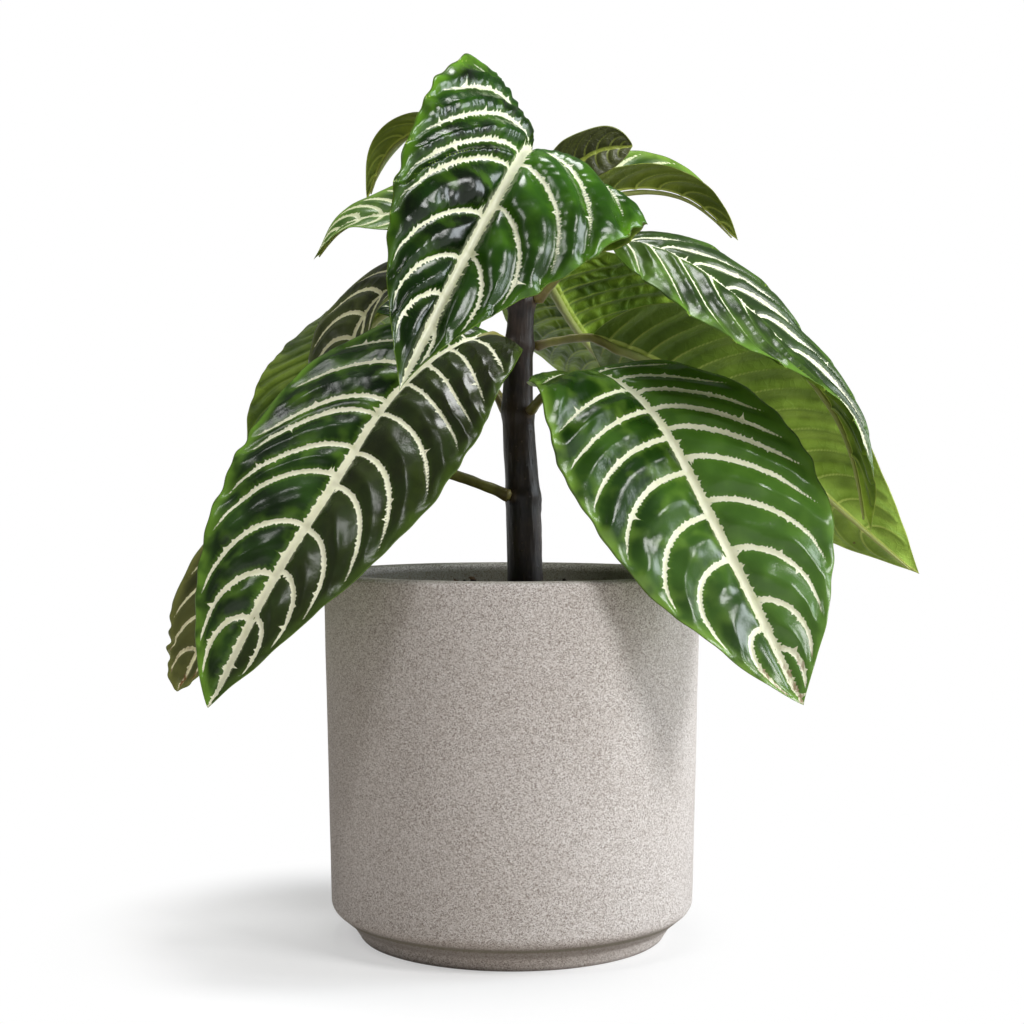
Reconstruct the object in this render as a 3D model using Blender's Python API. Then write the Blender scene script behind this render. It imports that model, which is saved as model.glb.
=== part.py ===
"""Potted zebra plant: a straight-sided planter, its soil, one woody stem and thirteen opposite leaves.

Metres, +Z up. The origin is the middle of the planter's flat underside, +X is the plant's right and -Y is
its front. The plant's own dimensions below are in millimetres and are scaled once, when a mesh is made.
"""

import bpy
import numpy as np

MM = 0.001
GAP = 0.3  # clear space between pieces that touch

# Planter: turned, with a slight taper, a soft lip and a bevelled foot.
RIM_RADIUS = 70.0
RIM_HEIGHT = 135.0
SHOULDER_RADIUS = 67.3  # where the wall meets the foot's bevel
SHOULDER_HEIGHT = 14.0
BEVEL_RADIUS = 60.0  # where the bevel meets the foot
BEVEL_HEIGHT = 5.7
FOOT_RADIUS = 56.8
WALL = 6.0
FLOOR = 8.0
INNER_CORNER = 9.0  # fillet between the floor and the wall inside
TURN_SIDES = 64

# Soil: fills the planter to just under the lip, with a pocket that holds the foot of the stem.
SOIL_LEVEL = 127.0
SOIL_RELIEF = 1.2
POCKET_FLOOR = 100.0

# Stem: (height, sideways lean, radius) from the buried foot to the growing point.
STEM = (
    (100.3, 5.0, 6.7),
    (128, 5.0, 6.7),
    (150, 4.5, 6.5),
    (164, 4.0, 6.4),
    (179, 3.0, 6.1),
    (196, 2.0, 5.8),
    (219, 2.5, 5.2),
    (235, 3.5, 4.8),
    (247, 4.0, 4.3),
    (258, 4.0, 3.7),
    (266, 4.0, 3.2),
    (273, 4.0, 2.4),
)
NODE_HEIGHTS = (163, 194, 219, 235, 247, 258, 266)  # where the leaf pairs sit
NODE_SWELL = 0.5
NODE_LENGTH = 2.5
STEM_SIDES = 16
BUD_HEIGHT = 14.0
BUD_RADIUS = 2.6

# Leaves.
BLADE_THICKNESS = 0.8
RIB_DEPTH = 1.3  # how far the midrib stands out beneath the blade at its base
PETIOLE_RADIUS = 1.7
PETIOLE_BASE_RADIUS = 2.3
YOUNG_PETIOLE_SCALE = 0.75
PETIOLE_RINGS = 4
BLADE_RINGS = 18
MERGE = 0.1  # fraction of the blade over which the round petiole flattens into it
TOP_ACROSS = (1.0, 0.62, 0.25, 0.0, -0.25, -0.62, -1.0)  # shares of a half blade, left margin to right

# One row per leaf, lowest pair first.
#   node     height on the stem
#   route    the blade's base, three or four points along the midrib and its tip
#   width    widest half on the leaf's left and right, looking from the stem to the tip
#   shape    (p, q) of each half's outline u^p (1 - u)^q
#   roll     turn about the midrib at the base, one third, two thirds and the tip, left side up
#   fold     rise of each half beside the midrib at the base, the middle and the tip
#   curl     how far each half bends back down from midrib to margin, at the same places
LEAVES = {
    "leaf_1_left": dict(
        node=163, route=((-25, -3, 172), (-50, -6, 174), (-82, -9, 155), (-108, -13, 122), (-122, -18, 92)),
        width=(28, 24), shape=((0.6, 0.7), (0.7, 0.5)), roll=(-20, -40, -45, -45),
        fold=((10, 10, 10), (10, 10, 10)), curl=((15, 15, 10), (15, 15, 10)),
    ),
    "leaf_2_right": dict(
        node=194, route=((15, -16, 203), (30.5, -28, 208), (44, -37, 200), (63.5, -49, 168), (82, -60, 129), (97.5, -72, 94)),
        width=(44, 48), shape=((1.2, 1.15), (0.48, 0.9)), roll=(5, 30, 38, 38),
        fold=((10, 18, 15), (15, 18, 15)), curl=((20, 25, 15), (25, 25, 15)),
    ),
    "leaf_2_left": dict(
        node=194, route=((-20, 31, 224), (-48, 61, 241), (-69, 84, 226), (-93, 104, 202), (-114, 121, 160)),
        width=(32, 35), shape=((0.6, 0.95), (0.6, 0.95)), roll=(-10, -10, 0, 0),
        fold=((10, 10, 10), (10, 10, 10)), curl=((15, 15, 10), (15, 15, 10)),
    ),
    "leaf_3_left": dict(
        node=219, route=((-7, -13, 222), (-38, -29, 205), (-60, -44, 172), (-79, -54, 141), (-103, -64, 92)),
        width=(46, 41), shape=((0.42, 1.0), (0.62, 0.85)), roll=(-22, -32, -36, -33),
        fold=((15, 18, 15), (12, 18, 15)), curl=((20, 25, 15), (25, 25, 15)),
    ),
    "leaf_3_right": dict(
        node=219, route=((30, 12, 223), (62, 25, 212), (92, 36, 191), (128, 45, 161), (164, 52, 131)),
        width=(35, 38), shape=((0.7, 1.15), (0.6, 1.05)), roll=(-30, -45, -50, -45),
        fold=((15, 15, 10), (15, 15, 10)), curl=((15, 15, 10), (15, 15, 10)),
    ),
    "leaf_4_right": dict(
        node=235, route=((36, -12, 257), (66, -24, 247), (96, -34, 219), (117, -41, 189), (125, -45, 151)),
        width=(26, 31), shape=((0.6, 1.0), (0.6, 1.0)), roll=(20, 17, 0, -10),
        fold=((5, 12, 35), (-5, 5, 38)), curl=((15, 20, 15), (25, 25, 15)),
    ),
    "leaf_4_left": dict(
        node=235, route=((-22, 7, 245), (-46, 12, 243), (-60, 12, 226), (-65, 14, 204), (-67, 17, 180)),
        width=(12, 31), shape=((0.6, 0.95), (0.6, 0.95)), roll=(-20, -40, -58, -60),
        fold=((10, 10, 10), (5, 10, 10)), curl=((10, 10, 10), (25, 30, 20)),
    ),
    "leaf_5_front": dict(
        node=247, route=((6, -17, 259), (8, -36, 277), (7, -58, 283), (-3, -78, 265), (-16, -92, 239), (-35, -112, 197)),
        width=(48.5, 40), shape=((0.69, 1.5), (1.0, 1.15)), roll=(-34, -36, -36, -25),
        fold=((-3, 30, 25), (27, 42, 32)), curl=((42, 44, 25), (20, 32, 20)),
    ),
    "leaf_5_back": dict(
        node=247, route=((11, 24, 252), (18, 40, 243), (34, 70, 224), (54, 96, 204), (72, 116, 178)),
        width=(34, 42), shape=((0.6, 0.95), (0.6, 0.95)), roll=(-15, -15, -10, 0),
        fold=((25, 25, 15), (25, 25, 15)), curl=((15, 15, 10), (15, 15, 10)),
    ),
    "leaf_6_right": dict(
        node=258, route=((14, 2, 266), (30, 5, 275), (48, 8, 279), (67, 12, 276), (86, 15, 260)),
        width=(17, 15), shape=((0.6, 0.95), (0.6, 0.95)), roll=(10, 10, 10, 0),
        fold=((66, 64, 44), (46, 46, 40)), curl=((15, 15, 10), (15, 15, 10)),
    ),
    "leaf_6_left": dict(
        node=258, route=((-12, -1, 265), (-30, -2, 271), (-45, -3, 268), (-61, -5, 264), (-73, -8, 250)),
        width=(18, 15), shape=((0.6, 0.95), (0.6, 0.95)), roll=(-45, -45, -30, 0),
        fold=((15, 15, 10), (15, 15, 10)), curl=((15, 15, 10), (15, 15, 10)),
    ),
    "leaf_7_right": dict(
        node=266, route=((10, -4, 273), (20, -12, 282), (31, -20, 288), (43, -28, 288)),
        width=(15, 17), shape=((0.4, 0.8), (0.5, 0.45)), roll=(60, 60, 60, 60),
        fold=((10, 10, 10), (10, 10, 10)), curl=((10, 10, 10), (10, 10, 10)),
    ),
    "leaf_7_left": dict(
        node=266, route=((-3, 10, 276), (-16, 19, 294), (-30, 27, 305), (-45, 32, 301), (-57, 38, 279)),
        width=(14, 14), shape=((0.6, 0.95), (0.6, 0.95)), roll=(0, 0, 0, 0),
        fold=((25, 25, 20), (25, 25, 20)), curl=((15, 15, 10), (15, 15, 10)),
    ),
}
YOUNG = 258  # leaves from this height up are small and have thinner petioles


def clear_scene():
    for obj in list(bpy.data.objects):
        bpy.data.objects.remove(obj)


def make_material(name, colour, roughness):
    made = bpy.data.materials.new(name)
    made.use_nodes = True
    shader = made.node_tree.nodes["Principled BSDF"]
    shader.inputs["Base Color"].default_value = (*colour, 1.0)
    shader.inputs["Roughness"].default_value = roughness
    shader.inputs["Metallic"].default_value = 0.0
    return made


def make_object(name, points, faces, material):
    """A smooth-shaded mesh object from points in millimetres, with its normals turned outwards."""
    mesh = bpy.data.meshes.new(name)
    mesh.from_pydata((np.asarray(points) * MM).tolist(), [], faces)
    mesh.validate()
    mesh.shade_smooth()
    mesh.set_sharp_from_angle(angle=np.radians(35))
    mesh.materials.append(material)
    obj = bpy.data.objects.new(name, mesh)
    bpy.context.collection.objects.link(obj)
    return obj


def loft(rings, start, end):
    """Quads between closed rings of equal length, closed by a fan to a point at each end.

    Rings run anticlockwise as seen from the end that they lead to.
    """
    count, sides = rings.shape[:2]
    points = np.vstack([rings.reshape(-1, 3), start, end])
    first, last = count * sides, count * sides + 1
    faces = []
    for i in range(count - 1):
        for j in range(sides):
            a, b = i * sides + j, i * sides + (j + 1) % sides
            faces.append((a, b, b + sides, a + sides))
    for j in range(sides):
        k = (j + 1) % sides
        faces.append((first, k, j))
        faces.append((last, (count - 1) * sides + j, (count - 1) * sides + k))
    return points, faces


def arc(centre, radius, start, end, steps):
    """Points (r, z) on a circle from one angle to another, in degrees."""
    turn = np.radians(np.linspace(start, end, steps + 1))
    return [(centre[0] + radius * np.cos(t), centre[1] + radius * np.sin(t)) for t in turn]


def wall_radius(height):
    """The planter's outer radius at a height on its tapered wall."""
    share = (height - SHOULDER_HEIGHT) / (RIM_HEIGHT - SHOULDER_HEIGHT)
    return SHOULDER_RADIUS + (RIM_RADIUS - SHOULDER_RADIUS) * share


def inner_outline(top, inset):
    """(r, z) down the inside of the planter from a height to the floor, moved inwards by an inset."""
    corner = wall_radius(FLOOR + INNER_CORNER) - WALL - INNER_CORNER
    centre = (corner, FLOOR + INNER_CORNER)
    return [(wall_radius(top) - WALL - inset, top)] + arc(centre, INNER_CORNER - inset, 0, -90, 4)


def turned(outline, sides, name, material):
    """A solid of revolution. The outline's first and last points lie on the axis, bottom first."""
    turn = np.arange(sides) * 2 * np.pi / sides
    rings = [
        np.stack([r * np.cos(turn), r * np.sin(turn), np.full(sides, z)], 1) for r, z in outline[1:-1]
    ]
    ends = [(0.0, 0.0, outline[0][1]), (0.0, 0.0, outline[-1][1])]
    return make_object(name, *loft(np.array(rings), *ends), material)


def make_planter(material):
    """Up the outside, over the lip and down the inside."""
    lip = 1.8
    outer_lip = arc((RIM_RADIUS - lip, RIM_HEIGHT - lip), lip, 0, 90, 3)
    inner_lip = arc((RIM_RADIUS - WALL + lip, RIM_HEIGHT - lip), lip, 90, 180, 3)
    shoulder = [
        (SHOULDER_RADIUS - 2.3, SHOULDER_HEIGHT - 3.8),
        (SHOULDER_RADIUS - 0.6, SHOULDER_HEIGHT - 2.1),
        (SHOULDER_RADIUS, SHOULDER_HEIGHT),
    ]
    outline = [(0, 0), (FOOT_RADIUS - 1, 0), (FOOT_RADIUS, 0.8), (BEVEL_RADIUS, BEVEL_HEIGHT)]
    outline += shoulder + outer_lip + inner_lip
    outline += inner_outline(RIM_HEIGHT - lip - 4, 0)[1:] + [(0, FLOOR)]
    return turned(outline, TURN_SIDES, "planter", material)


def stem_at(height):
    """The stem's sideways lean and radius at a height, without the swellings."""
    heights, leans, radii = np.array(STEM).T
    return np.interp(height, heights, leans), np.interp(height, heights, radii)


def make_soil(material):
    """Rings from the pocket's floor up its side, out over the top, down the wall and in over the floor."""
    turn = np.arange(TURN_SIDES) * 2 * np.pi / TURN_SIDES
    lean, radius = stem_at(POCKET_FLOOR)
    pocket = radius + GAP
    outside = inner_outline(SOIL_LEVEL, GAP)

    def ring(centre, r, z):
        return np.stack([centre + r * np.cos(turn), r * np.sin(turn), z + 0 * turn], 1)

    def top_ring(share):
        """The top swells and dips a little, and is level against the stem and the wall."""
        r = pocket + (outside[0][0] - pocket) * share
        waves = np.sin(3 * turn + 9 * share) * np.sin(5 * turn - 4 * share)
        return ring(lean * (1 - share), r, SOIL_LEVEL + SOIL_RELIEF * waves * np.sin(np.pi * share))

    rings = [ring(lean, pocket, POCKET_FLOOR), ring(lean, pocket, SOIL_LEVEL)]
    rings += [top_ring(share) for share in (0.2, 0.4, 0.6, 0.8)]
    rings += [ring(0, r, z) for r, z in outside]
    start = (lean, 0, POCKET_FLOOR)
    end = (0, 0, FLOOR + GAP)
    points, faces = loft(np.array(rings), start, end)
    faces = [face[::-1] for face in faces]
    return make_object("potting_soil", points, faces, material)


def stem_radius(height):
    """The stem's radius with a short swelling at each node."""
    swell = np.exp(-(((height - np.array(NODE_HEIGHTS)) / NODE_LENGTH) ** 2)).sum()
    return stem_at(height)[1] + NODE_SWELL * swell


def make_stem(material):
    bare = np.linspace(POCKET_FLOOR + GAP, NODE_HEIGHTS[0] - 6, 7)
    noded = np.linspace(NODE_HEIGHTS[0] - 3, STEM[-1][0], 38)
    turn = np.arange(STEM_SIDES) * 2 * np.pi / STEM_SIDES
    rings = []
    for height in (*bare, *noded):
        lean, radius = stem_at(height)[0], stem_radius(height)
        rings.append(np.stack([lean + radius * np.cos(turn), radius * np.sin(turn), height + 0 * turn], 1))
    start, end = rings[0].mean(axis=0), rings[-1].mean(axis=0)
    return make_object("stem", *loft(np.array(rings), start, end), material)


def make_shoot_tip(material):
    """The growing point: two folded scale leaves, as one flattened spindle on top of the stem."""
    lean, foot = STEM[-1][1], STEM[-1][0] + GAP
    turn = np.arange(10) * 2 * np.pi / 10
    rings = []
    for share in (0.0, 0.15, 0.35, 0.6, 0.85):
        r = BUD_RADIUS * (0.75 + 0.9 * share) * (1 - share) ** 0.8 + 0.2
        rings.append(
            np.stack([lean + r * np.cos(turn), 0.7 * r * np.sin(turn), foot + BUD_HEIGHT * share + 0 * turn], 1)
        )
    end = (lean, 0, foot + BUD_HEIGHT)
    return make_object("shoot_tip", *loft(np.array(rings), (lean, 0, foot), end), material)


def unit(vectors):
    return vectors / np.linalg.norm(vectors, axis=-1, keepdims=True)


def smooth_curve(knots, per_span=40):
    """Natural cubic spline through the knots, with chord length as its parameter."""
    knots = np.array(knots, float)
    spans = np.linalg.norm(np.diff(knots, axis=0), axis=1)
    size = len(knots)
    matrix, right = np.eye(size), np.zeros((size, 3))
    for i in range(1, size - 1):
        matrix[i, i - 1 : i + 2] = spans[i - 1], 2 * (spans[i - 1] + spans[i]), spans[i]
        right[i] = 6 * ((knots[i + 1] - knots[i]) / spans[i] - (knots[i] - knots[i - 1]) / spans[i - 1])
    bend = np.linalg.solve(matrix, right)
    pieces = []
    for i, h in enumerate(spans):
        b = np.linspace(0, h, per_span, endpoint=i == size - 2)[:, None]
        a = h - b
        cubic = (bend[i] * a**3 + bend[i + 1] * b**3) / (6 * h)
        straight = (knots[i] / h - bend[i] * h / 6) * a + (knots[i + 1] / h - bend[i + 1] * h / 6) * b
        pieces.append(cubic + straight)
    return np.vstack(pieces), per_span


def petiole_start(leaf):
    """A point a gap off the stem's skin, on the side that faces the blade's base."""
    lean = stem_at(leaf["node"])[0]
    towards = np.array(leaf["route"][0][:2]) - (lean, 0)
    out = towards / np.linalg.norm(towards)
    x, y = (lean, 0) + out * (stem_radius(leaf["node"]) + GAP)
    return np.array([x, y, leaf["node"]]), out


def leaf_spine(leaf):
    """Distances along the midrib from the stem, and the place, side and up directions there."""
    start, out = petiole_start(leaf)
    curve, per_span = smooth_curve([start, *leaf["route"]])
    steps = np.linalg.norm(np.diff(curve, axis=0), axis=1)
    along = np.concatenate([[0], np.cumsum(steps)])
    petiole, blade = along[per_span], along[-1] - along[per_span]
    ahead = unit(np.gradient(curve, along, axis=0))
    chord = curve[-1] - curve[0]
    level = unit(np.array([-chord[1], chord[0], 0.0]))
    side = unit(level - (ahead @ level)[:, None] * ahead)
    up = np.cross(ahead, side)
    marks = (0, petiole, petiole + blade / 3, petiole + blade * 2 / 3, petiole + blade)
    roll = np.radians(np.interp(along, marks, (0, *leaf["roll"])))[:, None]
    turned_side = side * np.cos(roll) + up * np.sin(roll)
    turned_up = up * np.cos(roll) - side * np.sin(roll)
    # The foot of the petiole lies flat against the upright stem.
    lean_in = np.clip(1 - along / (0.35 * petiole), 0, 1)[:, None]
    upright = np.array([0.0, 0.0, 1.0])
    across = np.array([-out[1], out[0], 0.0])
    turned_side = unit(turned_side * (1 - lean_in) + across * lean_in)
    turned_up = unit(turned_up * (1 - lean_in) + upright * lean_in)
    return along, curve, turned_side, turned_up, petiole, blade


def outline_width(u, shape):
    """u^p (1 - u)^q, scaled so that its peak is 1."""
    p, q = shape
    peak = p / (p + q)
    return u**p * (1 - u) ** q / (peak**p * (1 - peak) ** q)


def half_section(share, fold, curl):
    """Sideways and upward reach of a half blade at a share of its width: a line that rises, then bends down."""
    steps = np.linspace(0, share, 16)
    angle = np.radians(fold - curl * steps)
    return np.cos(angle).mean() * share, np.sin(angle).mean() * share


def blade_point(u, across, leaf):
    """Sideways and upward place of a blade point, where across runs from -1 at the right margin to 1."""
    half = 0 if across >= 0 else 1
    width = leaf["width"][half] * outline_width(u, leaf["shape"][half])
    fold, curl = (np.interp(u, (0, 0.5, 1), leaf[key][half]) for key in ("fold", "curl"))
    reach, rise = half_section(abs(across), fold, curl)
    return np.array([np.sign(across) * reach, rise]) * width


def leaf_ring(leaf, distance, petiole, blade, scale):
    """One cross-section, in its own side and up directions: top from left to right, then the underside back."""
    u = np.clip((distance - petiole) / blade, 0, 1)
    foot = np.clip(1 - distance / (0.5 * petiole), 0, 1)
    radius = scale * (PETIOLE_RADIUS + (PETIOLE_BASE_RADIUS - PETIOLE_RADIUS) * foot) * (1 - 0.7 * u)
    angles = np.radians(30 * np.arange(12))
    tube = radius * np.stack([np.cos(angles), np.sin(angles)], 1)
    across = np.array([*TOP_ACROSS, *TOP_ACROSS[-2:0:-1]])
    surface = np.array([blade_point(u, a, leaf) for a in across])
    half = 0.5 * BLADE_THICKNESS * (1 - 0.5 * u)
    lift = np.where(np.abs(across) == 1, 0, half)
    lift[len(TOP_ACROSS) :] = -half
    centre = (np.arange(12) > 6) & (across == 0)
    lift[centre] -= scale * RIB_DEPTH * (1 - u)
    surface[:, 1] += lift
    blend = np.clip(u / MERGE, 0, 1)
    blend = blend * blend * (3 - 2 * blend)
    return tube * (1 - blend) + surface * blend


def split_alike(faces, sides):
    """Cuts each quad of a leaf so that its top and its underside fold along the same lines and stay apart."""
    cut = []
    for face in faces:
        if len(face) == 3:
            cut.append(face)
            continue
        a, b, c, d = face
        on_top = a % sides < len(TOP_ACROSS) - 1
        cut += [(a, b, c), (a, c, d)] if on_top else [(a, b, d), (b, c, d)]
    return cut


def make_leaf(name, leaf, material):
    along, curve, side, up, petiole, blade = leaf_spine(leaf)
    scale = YOUNG_PETIOLE_SCALE if leaf["node"] >= YOUNG else 1.0
    even = np.linspace(0, 1, BLADE_RINGS + 1)[:-1]
    spread = 0.45 * even + 0.55 * (1 - np.cos(np.pi * even)) / 2
    distances = [*petiole * np.linspace(0, 1, PETIOLE_RINGS + 1)[:-1], *(petiole + blade * spread)]

    def at(values, distance):
        return np.array([np.interp(distance, along, values[:, k]) for k in range(3)])

    rings = []
    for distance in distances:
        flat = leaf_ring(leaf, distance, petiole, blade, scale)
        sideways, upward = at(side, distance), at(up, distance)
        rings.append(at(curve, distance) + flat[:, :1] * sideways + flat[:, 1:] * upward)
    rings = np.array(rings)
    points, faces = loft(rings, curve[0], curve[-1])
    return make_object(name, points, split_alike(faces, rings.shape[1]), material)


def main():
    clear_scene()
    make_planter(make_material("speckled_ceramic", (0.30, 0.27, 0.245), 0.75))
    make_soil(make_material("dark_soil", (0.012, 0.010, 0.008), 0.95))
    make_stem(make_material("dark_stem", (0.012, 0.010, 0.008), 0.5))
    make_shoot_tip(make_material("young_green", (0.05, 0.11, 0.02), 0.45))
    leaf_green = make_material("leaf_green", (0.02, 0.07, 0.015), 0.35)
    for name, leaf in LEAVES.items():
        make_leaf(name, leaf, leaf_green)


main()
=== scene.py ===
# %% [markdown]
# # A potted zebra plant
#
# The object is one rooted plant: a woody stem with thirteen broad leaves in opposite pairs, a planter of
# speckled stoneware, and the potting mix between them. The solid model already says where everything is.
# This lesson gives it skin: each leaf becomes a thin quilted sheet with its veins, and each surface gets a
# finish made only of shader nodes. We start by loading the frame.

# %% Load the frame
import bpy
import numpy as np
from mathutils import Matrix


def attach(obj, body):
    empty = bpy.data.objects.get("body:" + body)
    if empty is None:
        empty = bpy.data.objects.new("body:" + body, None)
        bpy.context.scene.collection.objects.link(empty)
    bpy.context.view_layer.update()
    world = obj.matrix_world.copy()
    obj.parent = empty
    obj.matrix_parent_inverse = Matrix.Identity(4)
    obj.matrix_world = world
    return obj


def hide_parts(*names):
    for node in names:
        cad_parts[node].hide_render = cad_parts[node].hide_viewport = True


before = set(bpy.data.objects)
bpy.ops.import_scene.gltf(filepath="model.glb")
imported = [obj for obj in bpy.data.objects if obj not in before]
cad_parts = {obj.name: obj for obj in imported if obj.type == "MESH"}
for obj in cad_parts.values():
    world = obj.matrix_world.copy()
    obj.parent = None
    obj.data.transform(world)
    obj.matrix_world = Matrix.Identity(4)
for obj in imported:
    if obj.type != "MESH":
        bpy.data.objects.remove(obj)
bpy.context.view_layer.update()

MM = 0.001
print("nodes in the frame:", len(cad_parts))

# %% [markdown]
# ## Camera
#
# A plant like this is usually shown from the front at the height of its lower leaves. A long lens keeps the
# planter's sides nearly parallel. The camera looks along +Y and dips by little more than a degree, so we see
# just a sliver of the soil's far edge inside the rim.

# %% Camera
CAMERA_PLACE = (0.0, -0.672, 0.171)
CAMERA_DIP = 1.19  # degrees below the horizon
LENS = 63.28  # millimetres on a sensor 36 mm wide

camera_data = bpy.data.cameras.new("camera")
camera_data.lens = LENS
camera_data.clip_start = 0.01
camera = bpy.data.objects.new("camera", camera_data)
camera.location = CAMERA_PLACE
camera.rotation_euler = (np.radians(90 - CAMERA_DIP), 0, 0)
bpy.context.scene.collection.objects.link(camera)
bpy.context.scene.camera = camera
bpy.context.scene.view_settings.view_transform = "Standard"
print("lens", camera_data.lens)

# %% [markdown]
# ## Shader maths as Python
#
# Every finish below is arithmetic on a few fields: noise, distance from a vein, distance from the margin.
# Wiring Math nodes by hand hides that arithmetic, so one small class wraps a socket and turns `+ - * /` into
# Math nodes. A second class holds a material and makes any other node from its type, settings and sockets.


# %% Wires and finishes
class Wire:
    """A socket whose arithmetic adds Math nodes to its tree."""

    def __init__(self, tree, socket):
        self.tree, self.socket = tree, socket

    def math(self, operation, *others):
        made = self.tree.nodes.new("ShaderNodeMath")
        made.operation = operation
        for slot, value in zip(made.inputs, (self, *others)):
            join(self.tree, value, slot)
        return Wire(self.tree, made.outputs[0])

    def __add__(self, other):
        return self.math("ADD", other)

    def __mul__(self, other):
        return self.math("MULTIPLY", other)

    def __sub__(self, other):
        return self.math("SUBTRACT", other)

    def __truediv__(self, other):
        return self.math("DIVIDE", other)

    def __pow__(self, other):
        return self.math("POWER", other)

    def __rsub__(self, other):
        return (self * -1.0) + other

    __radd__ = __add__
    __rmul__ = __mul__

    def most(self, other):
        return self.math("MAXIMUM", other)

    def least(self, other):
        return self.math("MINIMUM", other)

    def ramp(self, low, high):
        """0 below low, 1 above high and a smooth step between; low may be the larger."""
        if low > high:
            return 1 - self.ramp(high, low)
        made = self.tree.nodes.new("ShaderNodeMapRange")
        made.interpolation_type = "SMOOTHSTEP"
        for slot, value in zip(made.inputs, (self, low, high, 0.0, 1.0)):
            join(self.tree, value, slot)
        return Wire(self.tree, made.outputs[0])


def join(tree, value, slot):
    """Links a wire to an input, or sets the input to a plain value."""
    if isinstance(value, Wire):
        tree.links.new(value.socket, slot)
    else:
        slot.default_value = value


def tint(red, green, blue):
    """A colour given as 0 to 255 on screen, as the linear values that a shader takes."""
    screen = np.array([red, green, blue]) / 255
    linear = np.where(screen > 0.04045, ((screen + 0.055) / 1.055) ** 2.4, screen / 12.92)
    return (*linear.tolist(), 1.0)


class Graph:
    """A node tree, and one short way to add any node to it."""

    def __init__(self, tree):
        self.tree = tree

    def node(self, kind, settings=None, sockets=None, out=0):
        """Any node: its settings are set first, then its sockets get values or links."""
        made = self.tree.nodes.new(kind)
        for key, value in (settings or {}).items():
            setattr(made, key, value)
        for key, value in (sockets or {}).items():
            join(self.tree, value, made.inputs[key])
        return Wire(self.tree, made.outputs[out])

    def ray(self, kind):
        """1 for one kind of ray, such as Camera, and 0 for the others."""
        return self.node("ShaderNodeLightPath", out=f"Is {kind} Ray")


class Finish(Graph):
    """A material with a Principled shader, and short ways to add the nodes that feed it."""

    def __init__(self, name):
        self.material = bpy.data.materials.new(name)
        self.material.use_nodes = True
        super().__init__(self.material.node_tree)
        self.shader = self.tree.nodes["Principled BSDF"]
        self.place = self.node("ShaderNodeTexCoord", out="Object")

    def field(self, name):
        """A number that the mesh carries at each point."""
        return self.node("ShaderNodeAttribute", {"attribute_name": name}, out="Fac")

    def noise(self, size, detail=2.0, rough=0.5, place=None):
        """Noise from 0 to 1 whose blotches are about the given size in metres."""
        sockets = {"Vector": place or self.place, "Scale": 1 / size, "Detail": detail, "Roughness": rough}
        return self.node("ShaderNodeTexNoise", None, sockets)

    def mix(self, share, first, second):
        """A colour between two colours."""
        return self.node("ShaderNodeMix", {"data_type": "RGBA"}, {0: share, 6: first, 7: second}, out=2)

    def bump(self, height, depth, under=None):
        """A normal from a height field, with its depth in metres."""
        sockets = {"Height": height, "Distance": depth, "Strength": 1.0}
        if under is not None:
            sockets["Normal"] = under
        return self.node("ShaderNodeBump", None, sockets)

    def set(self, **sockets):
        for name, value in sockets.items():
            join(self.tree, value, self.shader.inputs[name.replace("_", " ")])
        return self.material


print("nodes come from Graph.node and from arithmetic on Wire")

# %% [markdown]
# ## Meshes from arrays
#
# All shapes here are grids of points: a function of two parameters, worked out for the whole grid at once.
# One helper turns a grid, or several shells, into a mesh object that rides on the body and stands for its
# solid. Numbers that the shaders need, such as the distance from the nearest vein, are stored at the points.


# %% Grids to objects
def ring_quads(rows, columns):
    """Corner numbers of the quads of a grid whose last column joins the first."""
    i = np.arange(rows - 1)[:, None]
    j = np.arange(columns)[None]
    k = (j + 1) % columns
    this_row, next_row = i * columns, (i + 1) * columns
    return np.stack([this_row + j, this_row + k, next_row + k, next_row + j], -1).reshape(-1, 4)


def around(sides):
    """Evenly spaced angles round a circle, in radians."""
    return np.arange(sides) * 2 * np.pi / sides


def turned(radius, turn, height, lean=0.0):
    """Rings round an upright axis: x = lean + r cos t, y = r sin t. All four may vary over the grid."""
    return np.stack(np.broadcast_arrays(lean + radius * np.cos(turn), radius * np.sin(turn), height), -1)


def tube_shell(rings, start=None, end=None):
    """A closed shell from rings of equal length: quads between them and a fan to a point at each end."""
    count, sides = rings.shape[:2]
    quads = ring_quads(count, sides)
    start = rings[0].mean(0) if start is None else start
    end = rings[-1].mean(0) if end is None else end
    j = np.arange(sides)
    k = (j + 1) % sides
    first, last = count * sides, count * sides + 1
    low = np.stack([np.full(sides, first), k, j], 1)
    high = np.stack([np.full(sides, last), (count - 1) * sides + j, (count - 1) * sides + k], 1)
    return np.vstack([rings.reshape(-1, 3), start, end]), quads, np.vstack([low, high])


def merged(shells):
    """Several shells (points, quads, triangles) as one, their corner numbers moved along."""
    starts = np.cumsum([0] + [len(points) for points, _, _ in shells[:-1]])
    points = np.vstack([points for points, _, _ in shells])
    quads = np.vstack([quads + start for (_, quads, _), start in zip(shells, starts)])
    triangles = np.vstack([triangles + start for (_, _, triangles), start in zip(shells, starts)])
    return points, quads, triangles


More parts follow.
